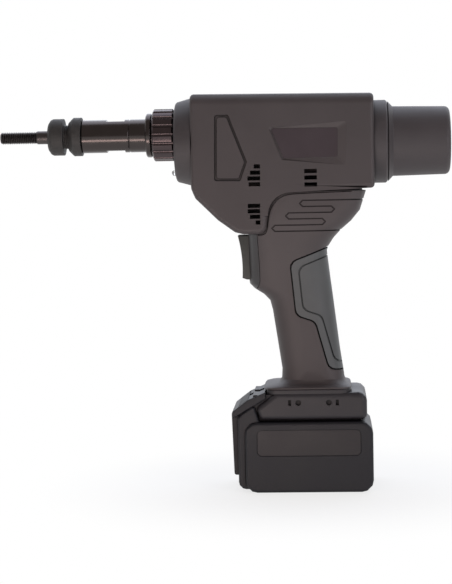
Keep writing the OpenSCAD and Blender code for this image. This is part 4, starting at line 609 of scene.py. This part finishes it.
cup_r = cup_share * (lamp_high.y - lamp_low.y) / 2
cup_x, cup_end = lamp_low.x + dome_length, lamp_high.x - foot_length
lamp_cup = lathe("lamp_cup", [
    (cup_x + cup_depth, 0), (cup_x + cup_depth, floor_share * cup_r), (cup_x, rim_share * cup_r),
    (cup_x, cup_r), (cup_end, cup_r), (cup_end, 0)], lamp_y, lamp_z, facets=32)
reflector = surface("moulded_white_reflector", ("#e0ded4", "#efede4"), cloud=0.0015, gloss=(0.3, 0.42),
                    grain=0.0006, depth=1e-5)
lamp_cup.data.materials.append(reflector)
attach(lamp_cup, "tool")

# Trigger switch and control board: a sealed nylon switch body and a lacquered glass-epoxy board.
# Both sit in shelves of the housing behind the trigger.
switch_nylon = surface("switch_nylon", ("#1e1f21", "#282a2c"), cloud=0.006, gloss=(0.4, 0.52),
                       grain=0.0009, depth=2e-5)
coat(switch_nylon, "trigger_switch", "cell_holder")
board_lacquer = surface("green_board_lacquer", ("#174a30", "#226240"), cloud=0.003, gloss=(0.22, 0.34),
                        grain=0.0012, depth=3e-5)
coat(board_lacquer, "control_board", "battery_board")

# Trigger: an ABS moulding that slides in the bezel and pushes the switch's plunger.
# Fingers wear its face to an even satin.
trigger_abs = surface("satin_trigger_abs", ("#2c2e2b", "#343632"), cloud=0.014, gloss=(0.34, 0.46),
                      grain=0.001, depth=1.2e-5)
dressed("trigger", trigger_abs, angle=30, edge=0.0004)

# Bezel: a smooth ABS surround that frames the trigger and bridges the two housing halves.
# It follows the handle's curve and fills the notch that the halves leave at the front.
bezel_abs = surface("smooth_bezel_abs", ("#2c2b2c", "#323031"), cloud=0.02, gloss=(0.4, 0.5),
                    grain=0.001, depth=1.2e-5, painted_groove_shade=0.2)
dressed("trigger_bezel", bezel_abs, angle=40, edge=0.0007)

# Housing halves: two mouldings of glass-filled nylon, screwed together on the tool's middle plane.
# The mould was spark eroded: an even matt grain of 0.3 mm, drawn at 0.9 mm so that it shows.
grained_nylon = surface("spark_grained_nylon", ("#3b3535", "#413b3b"), cloud=0.045, gloss=(0.5, 0.58),
                        grain=0.0009, depth=2.5e-5, painted_groove_shade=0.08, shine=0.44)
recess_low, recess_high, wall_near, wall_far = (-0.032, 0.258), (0.037, 0.302), 0.035, 0.0372
recess_boxes = [(Vector((recess_low[0], y0, recess_low[1])), Vector((recess_high[0], y1, recess_high[1])))
                for y0, y1 in ((-wall_far, -wall_near), (wall_near, wall_far))]
groove_radius, clear_of_tool = 0.0009, 0.06


def scored(skin, outside, path, radius):
    """Cuts a round groove into a skin along (x, z) points, on its -1 or 1 side of Y.
    The groove runs out of the wall at its last point."""
    skin.modifiers.remove(skin.modifiers["even_shading"])
    bpy.context.view_layer.update()
    line = bpy.data.curves.new("groove_line", "CURVE")
    line.dimensions = "3D"
    line.bevel_depth, line.bevel_resolution, line.resolution_u, line.use_fill_caps = radius, 2, 6, True
    run = line.splines.new("BEZIER")
    run.bezier_points.add(len(path) - 1)
    for point, (x, z) in zip(run.bezier_points, path):
        point.co = (x, skin.ray_cast((x, clear_of_tool * outside, z), (0, -outside, 0))[1].y, z)
        point.handle_left_type = point.handle_right_type = "AUTO"
    run.bezier_points[-1].co.y += 3 * radius * outside
    rod = bpy.data.objects.new("groove_rod", line)
    scene.collection.objects.link(rod)
    bpy.context.view_layer.update()
    rod_mesh = bpy.data.meshes.new_from_object(rod.evaluated_get(bpy.context.evaluated_depsgraph_get()))
    cutter = bpy.data.objects.new("groove_cutter", rod_mesh)
    scene.collection.objects.link(cutter)
    cut = skin.modifiers.new("groove", "BOOLEAN")
    cut.object, cut.operation, cut.solver = cutter, "DIFFERENCE", "EXACT"
    bpy.context.view_layer.update()
    mesh = bpy.data.meshes.new_from_object(skin.evaluated_get(bpy.context.evaluated_depsgraph_get()))
    skin.modifiers.clear()
    shape = bmesh.new()
    shape.from_mesh(mesh)
    bmesh.ops.remove_doubles(shape, verts=shape.verts, dist=merge_reach)
    bmesh.ops.dissolve_degenerate(shape, dist=merge_reach, edges=shape.edges)
    for edge in shape.edges:
        edge.smooth = edge.smooth and edge.calc_face_angle(0.0) < math.radians(smooth_angle)
    shape.to_mesh(mesh)
    shape.free()
    mesh.name = skin.data.name + "_scored"
    skin.data = mesh
    for spare in (rod, cutter):
        bpy.data.objects.remove(spare)
    skin.modifiers.new("even_shading", "WEIGHTED_NORMAL").keep_sharp = True


# The groove runs along the foot of the body's bulge, where the thin wing starts.
# The foot's two rear screw holes are closed, because the screws fill them.
wing_edge = [(-0.0385, 0.2084), (-0.0368, 0.2085), (-0.0340, 0.2090), (-0.0321, 0.2107), (-0.0312, 0.2137),
             (-0.0307, 0.2173), (-0.0300, 0.2219), (-0.0291, 0.2257), (-0.0278, 0.2296), (-0.0258, 0.2329),
             (-0.0229, 0.2364), (-0.0194, 0.2386), (-0.0155, 0.2402), (-0.0108, 0.2410), (-0.0002, 0.2415),
             (0.0132, 0.2419), (0.0253, 0.2422), (0.0360, 0.2424), (0.0400, 0.2425)]
rear_screw_x, screw_y, screw_hole_r = 0.026, 0.018, 0.00172
for side, way in (("left", -1), ("right", 1)):
    half = dressed("housing_" + side, grained_nylon, crisp=recess_boxes,
                   plugged=[(rear_screw_x, screw_y * way, screw_hole_r)])
    scored(half, way, wing_edge, groove_radius)


# Tongue of the bezel's lower end: a short ABS bar in one piece with the bezel.
# It closes the joint between the two halves below the trigger.
def plate(name, corners, y, thickness, radius, material, body):
    """A thin plate over (x, z) corners, rounded by a radius, that stands out of a wall facing -Y."""
    shape = bmesh.new()
    outline = []
    count, arc_steps = len(corners), 6
    for i in range(count):
        at, before, after = (Vector(corners[(i + k) % count]) for k in (0, -1, 1))
        into, out = (before - at).normalized(), (after - at).normalized()
        half = into.angle(out) / 2
        hub = at + (into + out).normalized() * radius / math.sin(half)
        first = at + into * (radius / math.tan(half)) - hub
        last = at + out * (radius / math.tan(half)) - hub
        begin = math.atan2(first.y, first.x)
        sweep = (math.atan2(last.y, last.x) - begin + math.pi) % (2 * math.pi) - math.pi
        arc = [begin + sweep * k / arc_steps for k in range(arc_steps + 1)]
        outline += [hub + radius * Vector((math.cos(a), math.sin(a))) for a in arc]
    front = [shape.verts.new((p.x, y - thickness, p.y)) for p in outline]
    back = [shape.verts.new((p.x, y, p.y)) for p in outline]
    shape.faces.new(front)
    shape.faces.new(back[::-1])
    for k in range(len(front)):
        shape.faces.new((front[k], back[k], back[(k + 1) % len(back)], front[(k + 1) % len(front)]))
    bmesh.ops.recalc_face_normals(shape, faces=shape.faces)
    mesh = bpy.data.meshes.new(name)
    shape.to_mesh(mesh)
    shape.free()
    mesh.materials.append(material)
    piece = bpy.data.objects.new(name, mesh)
    scene.collection.objects.link(piece)
    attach(piece, body)
    return piece


tongue_corners = [(-0.0407, 0.1626), (-0.0377, 0.1661), (-0.0395, 0.1677), (-0.04265, 0.16395)]
bezel_tongue = plate("bezel_tongue", tongue_corners,
                     y=0.002, thickness=0.004, radius=0.0002, material=bezel_abs, body="tool")

# Strip on the moulded baffle behind the rear vents, pressed against the motor case: painted shade, a dull
# near-black strip put behind the lowest vent slot. It stops the light passing through the slot, so that the
# slot shows dark.
vent_shade_black = surface("painted_vent_shade", ("#1c1b1b", "#242323"), cloud=0.003, gloss=(0.9, 0.98),
                    grain=0.0008, depth=5e-5, shine=0.2)
vent_shade_corners = [(-0.003, 0.2478), (0.0115, 0.2478), (0.0115, 0.24875), (-0.003, 0.24875)]
vent_shade_strip = plate("vent_shade_strip", vent_shade_corners,
                    y=0.0015, thickness=0.003, radius=0.0002, material=vent_shade_black, body="tool")

# Inlay on the floor of the left half's recess: a flat nylon plate 0.25 mm thick, polished in the mould.
# It shows darker and cleaner than the grain round it.
polished_inlay = surface("polished_nylon_inlay", ("#33292d", "#372d31"), cloud=0.02, gloss=(0.42, 0.5),
                         grain=0.0011, depth=8e-6, shine=0.38)
inlay_corners = [(-0.0164, 0.2694), (0.0261, 0.2699), (0.0264, 0.2926), (-0.0263, 0.2929)]
name_field = plate("name_field", inlay_corners,
                   y=-0.0356, thickness=0.00025, radius=0.0012, material=polished_inlay, body="tool")

# Grip pads: thermoplastic rubber moulded over the handle, with a raised border round a flat field.
# Soft rubber scatters light evenly and takes a fine stipple from the mould, drawn at 0.9 mm.
grip_rubber = surface("stippled_grip_rubber", ("#434545", "#4b4d4d"), cloud=0.03, gloss=(0.5, 0.6),
                      grain=0.0009, depth=4e-5, painted_groove_shade=0.2)
for side in ("left", "right"):
    dressed("grip_pad_" + side, grip_rubber, angle=40, edge=0.0004)

# Housing screws: eight thread-forming screws of 3 mm, driven from the right half's wells.
# Each pan head has a six-lobe socket; the heads are grown ring by ring and set on the wells' places.
lobed_screws, given = growing("lobed_screws", "Screws", {
    "Places": "Geometry", "Head Radius": "Float", "Head Height": "Float", "Socket Radius": "Float",
    "Shank Radius": "Float", "Length": "Float", "Steel": "Material"})
tree = lobed_screws
ring_points, lobes, lobe_depth, socket_floor = 24, 6, 0.13, 0.35
lobe_floor = node(tree, "GeometryNodeMeshCircle", {1: given["Socket Radius"]}, fill_type="NGON",
                  in_0=ring_points)
number = node(tree, "GeometryNodeInputIndex").outputs[0]
swing = node(tree, "ShaderNodeMath", {0: number}, operation="MULTIPLY",
             in_1=2 * math.pi * lobes / ring_points).outputs[0]
ripple = node(tree, "ShaderNodeMath", {0: swing}, operation="COSINE").outputs[0]
lobe = node(tree, "ShaderNodeMath", {0: ripple}, operation="MULTIPLY_ADD",
            in_1=lobe_depth, in_2=1 - lobe_depth).outputs[0]
own = node(tree, "GeometryNodeInputPosition").outputs[0]
shaped = node(tree, "ShaderNodeVectorMath", {0: own, "Scale": lobe}, operation="SCALE").outputs[0]
deep = node(tree, "ShaderNodeMath", {0: given["Head Height"]}, operation="MULTIPLY",
            in_1=socket_floor).outputs[0]
sunk = node(tree, "ShaderNodeCombineXYZ", {2: deep}).outputs[0]
screw = node(tree, "GeometryNodeSetPosition", {
    0: lobe_floor.outputs[0], "Position": shaped, "Offset": sunk}).outputs[0]
head_r, head_h, shank = given["Head Radius"], given["Head Height"], given["Shank Radius"]
under = node(tree, "ShaderNodeMath", {0: given["Length"]}, operation="MULTIPLY", in_1=-1.0).outputs[0]
# Each ring is a share of a radius and a share of a height, from the socket's rim down to the point.
steps = (
    (None, 1.0, head_h, 1.0),
    (head_r, 0.78, head_h, 1.0),
    (head_r, 0.93, head_h, 0.88),
    (head_r, 1.0, head_h, 0.55),
    (head_r, 1.0, head_h, 0.0),
    (shank, 1.0, head_h, 0.0),
    (shank, 1.0, under, 0.9),
    (shank, 0.35, under, 1.0),
    (shank, 0.0, under, 1.0),
)
rim = None
for radius, share, height, part in steps:
    wall = node(tree, "GeometryNodeExtrudeMesh", {0: screw}, mode="EDGES", in_3=0.0)
    if rim is not None:
        tree.links.new(rim, wall.inputs["Selection"])
    rim = wall.outputs["Top"]
    now = node(tree, "GeometryNodeInputPosition").outputs[0]
    apart = node(tree, "ShaderNodeSeparateXYZ", {0: now}).outputs
    flat = node(tree, "ShaderNodeCombineXYZ", {0: apart["X"], 1: apart["Y"]}).outputs[0]
    level = node(tree, "ShaderNodeMath", {0: height}, operation="MULTIPLY", in_1=part).outputs[0]
    if radius is not None:
        wide = node(tree, "ShaderNodeMath", {0: radius}, operation="MULTIPLY", in_1=share).outputs[0]
        unit = node(tree, "ShaderNodeVectorMath", {0: flat}, operation="NORMALIZE").outputs[0]
        flat = node(tree, "ShaderNodeVectorMath", {0: unit, "Scale": wide}, operation="SCALE").outputs[0]
    lift = node(tree, "ShaderNodeCombineXYZ", {2: level}).outputs[0]
    goal = node(tree, "ShaderNodeVectorMath", {0: flat, 1: lift}, operation="ADD").outputs[0]
    screw = node(tree, "GeometryNodeSetPosition", {
        0: wall.outputs[0], "Selection": rim, "Position": goal}).outputs[0]
closed = node(tree, "GeometryNodeMergeByDistance", {0: screw})
closed.inputs["Distance"].default_value = merge_reach
set_out = node(tree, "GeometryNodeInstanceOnPoints", {0: given["Places"], "Instance": closed.outputs[0]})
set_out.inputs["Rotation"].default_value = (-math.pi / 2, 0.0, 0.0)
harvest(tree, set_out.outputs[0], given["Steel"])

screw_seat_y = 0.01215
screw_places = [(-0.0617, 0.3160), (0.0374, 0.3160), (0.0360, 0.2394), (-0.0813, 0.2441), (-0.0524, 0.2181),
                (0.0070, 0.1827), (-0.0122, 0.1445), (0.00935, 0.0959)]
wells = bpy.data.meshes.new("housing_screw_places")
wells.from_pydata([(x, screw_seat_y, z) for x, z in screw_places], [], [])
housing_screws = grown("housing_screw_set", lobed_screws, "tool", {
    "Head Radius": 0.0028, "Head Height": 0.0024, "Socket Radius": 0.0013, "Shank Radius": 0.0015,
    "Length": 0.019, "Steel": blackened_steel}, wells)
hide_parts("housing_screws")

# Dock: a nylon shoe under the foot, with two rails that hold the pack and holes for a belt hook.
# It is moulded like the housing but polished on its outer walls, so it shows a soft sheen.
dock_nylon = surface("satin_dock_nylon", ("#242225", "#29272a"), cloud=0.03, gloss=(0.44, 0.52),
                     grain=0.001, depth=1.5e-5, painted_groove_shade=0.35, shine=0.35)
dressed("battery_dock", dock_nylon, edge=0.0003)

# Dock screws: four thread-forming screws of blackened steel, driven up through the dock into the foot.
# Each has a tapered point, so the ends of its shank are drawn in and pulled down a little.
front_screw_x = -0.0145
shank_end, point_share, point_z = 0.089, 0.3, 0.0878
dock_screws = dressed("dock_screws", blackened_steel)
for tip in (v for v in dock_screws.data.vertices if v.co.z > shank_end):
    axis_x, axis_y = rear_screw_x if tip.co.x > 0 else front_screw_x, math.copysign(screw_y, tip.co.y)
    tip.co = (axis_x + point_share * (tip.co.x - axis_x),
              axis_y + point_share * (tip.co.y - axis_y), point_z)

# Terminals and contacts: tinned brass blades in the dock and leaves in the pack.
# They are stamped from strip, and the brass shows yellow through the thin tin.
tinned_brass = surface("tinned_brass", ("#b89a55", "#cbb27a"), cloud=0.003, gloss=(0.26, 0.4),
                       grain=0.0008, depth=1e-5, metallic=1.0)
coat(tinned_brass, "dock_terminals", "battery_contacts")

# Cells: five lithium cells lying across the pack in their holder.
# Each has a shrunk green sleeve and bare nickelled ends.
cell_sleeve, tree, shader, place = finish("shrunk_cell_sleeve")
bare_depth, wrinkle_size = 0.0004, 0.004
end_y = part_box("cells")[1].y - bare_depth
ways = node(tree, "ShaderNodeSeparateXYZ", {0: place})
reach = node(tree, "ShaderNodeMath", {0: ways.outputs["Y"]}, operation="ABSOLUTE")
bare = node(tree, "ShaderNodeMath", {0: reach.outputs[0]}, operation="GREATER_THAN", in_1=end_y)
shrink = node(tree, "ShaderNodeTexNoise", {0: place}, in_2=1 / wrinkle_size, in_3=2.0)
sleeve_tone = node(tree, "ShaderNodeMix", {0: shrink.outputs[0]}, data_type="RGBA",
                   in_6=linear("#2f6f58"), in_7=linear("#3f8a6e"))
tone = node(tree, "ShaderNodeMix", {0: bare.outputs[0], 6: sleeve_tone.outputs[2]}, data_type="RGBA",
            in_7=linear("#b9b8b4"))
wrinkle = node(tree, "ShaderNodeBump", {"Height": shrink.outputs[0]}, in_0=1.0, in_1=4e-5)
tree.links.new(tone.outputs[2], shader.inputs["Base Color"])
tree.links.new(bare.outputs[0], shader.inputs["Metallic"])
tree.links.new(wrinkle.outputs[0], shader.inputs["Normal"])
shader.inputs["Roughness"].default_value = 0.3
coat(cell_sleeve, "cells")

# Battery tub and cover: glass-filled nylon shells with a fine even grain; the cover closes the tub.
# Each long side of the tub has a shallow flat recess.
pack_nylon = surface("fine_grained_pack_nylon", ("#17171b", "#1b1b20"), cloud=0.04, gloss=(0.46, 0.54),
                     grain=0.0009, depth=2e-5, painted_groove_shade=0.6, shine=0.3)
dressed("battery_tub", pack_nylon, angle=30, edge=0.0003)
dressed("battery_cover", pack_nylon, angle=30, edge=0.0003)

# Film in the left recess of the pack: plain, 0.2 mm thick and stuck down.
# Its smooth face is a shade warmer than the grained shell.
label_film = surface("bare_label_film", ("#221f21", "#272426"), cloud=0.02, gloss=(0.4, 0.48),
                     grain=0.0011, depth=6e-6, shine=0.3)
film_corners = [(-0.0414, 0.0304), (0.0414, 0.0304), (0.0414, 0.0507), (-0.0414, 0.0507)]
label_field = plate("label_field", film_corners,
                    y=-0.0367, thickness=0.0002, radius=0.0035, material=label_film, body="battery")

# Release button: black acetal across the cover's slope, with ribs for the thumb.
# Acetal is coloured through, and the mould was blasted, so it stays matt.
black_acetal = surface("black_acetal", ("#080808", "#0d0d0e"), cloud=0.01, gloss=(0.6, 0.7),
                       grain=0.001, depth=1.5e-5)
dressed("release_button", black_acetal, angle=30, edge=0.0003)

# Release spring: a cone of drawn steel wire between the cover and the button's arm.
# Its turns nest, so it closes almost flat when the button goes down.
spring_steel = surface("drawn_spring_steel", ("#8a8b8d", "#a5a6a8"), cloud=0.002, gloss=(0.24, 0.36),
                       grain=0.0006, depth=1e-5, metallic=1.0)
cone_spring, given = growing("cone_spring", "Spring", {
    "Foot": "Vector", "Wide Radius": "Float", "Narrow Radius": "Float", "Height": "Float", "Turns": "Float",
    "Wire Radius": "Float", "Steel": "Material"})
tree = cone_spring
winding = node(tree, "GeometryNodeCurveSpiral", {
    "Rotations": given["Turns"], "Start Radius": given["Wide Radius"], "End Radius": given["Narrow Radius"],
    "Height": given["Height"]}, in_0=32)
section = node(tree, "GeometryNodeCurvePrimitiveCircle", {"Radius": given["Wire Radius"]}, in_0=10)
wire = node(tree, "GeometryNodeCurveToMesh", {0: winding.outputs[0], 1: section.outputs[0]})
wire.inputs["Fill Caps"].default_value = True
seated = node(tree, "GeometryNodeTransform", {0: wire.outputs[0], "Translation": given["Foot"]})
harvest(tree, seated.outputs[0], given["Steel"])

spring_low, spring_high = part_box("release_spring")
wire_radius, spring_travel = 0.00022, 0.005
spring_x, spring_reach = (spring_low.x + spring_high.x) / 2, (spring_high.x - spring_low.x) / 2
spring_height = spring_high.z - spring_low.z
release_coil = grown("release_coil", cone_spring, "release", {
    "Foot": (spring_x, 0.0, spring_low.z + wire_radius), "Wide Radius": spring_reach - wire_radius,
    "Narrow Radius": 0.0009, "Height": spring_height - 2 * wire_radius, "Turns": 4.0,
    "Wire Radius": wire_radius, "Steel": spring_steel})
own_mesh(release_coil)
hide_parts("release_spring")
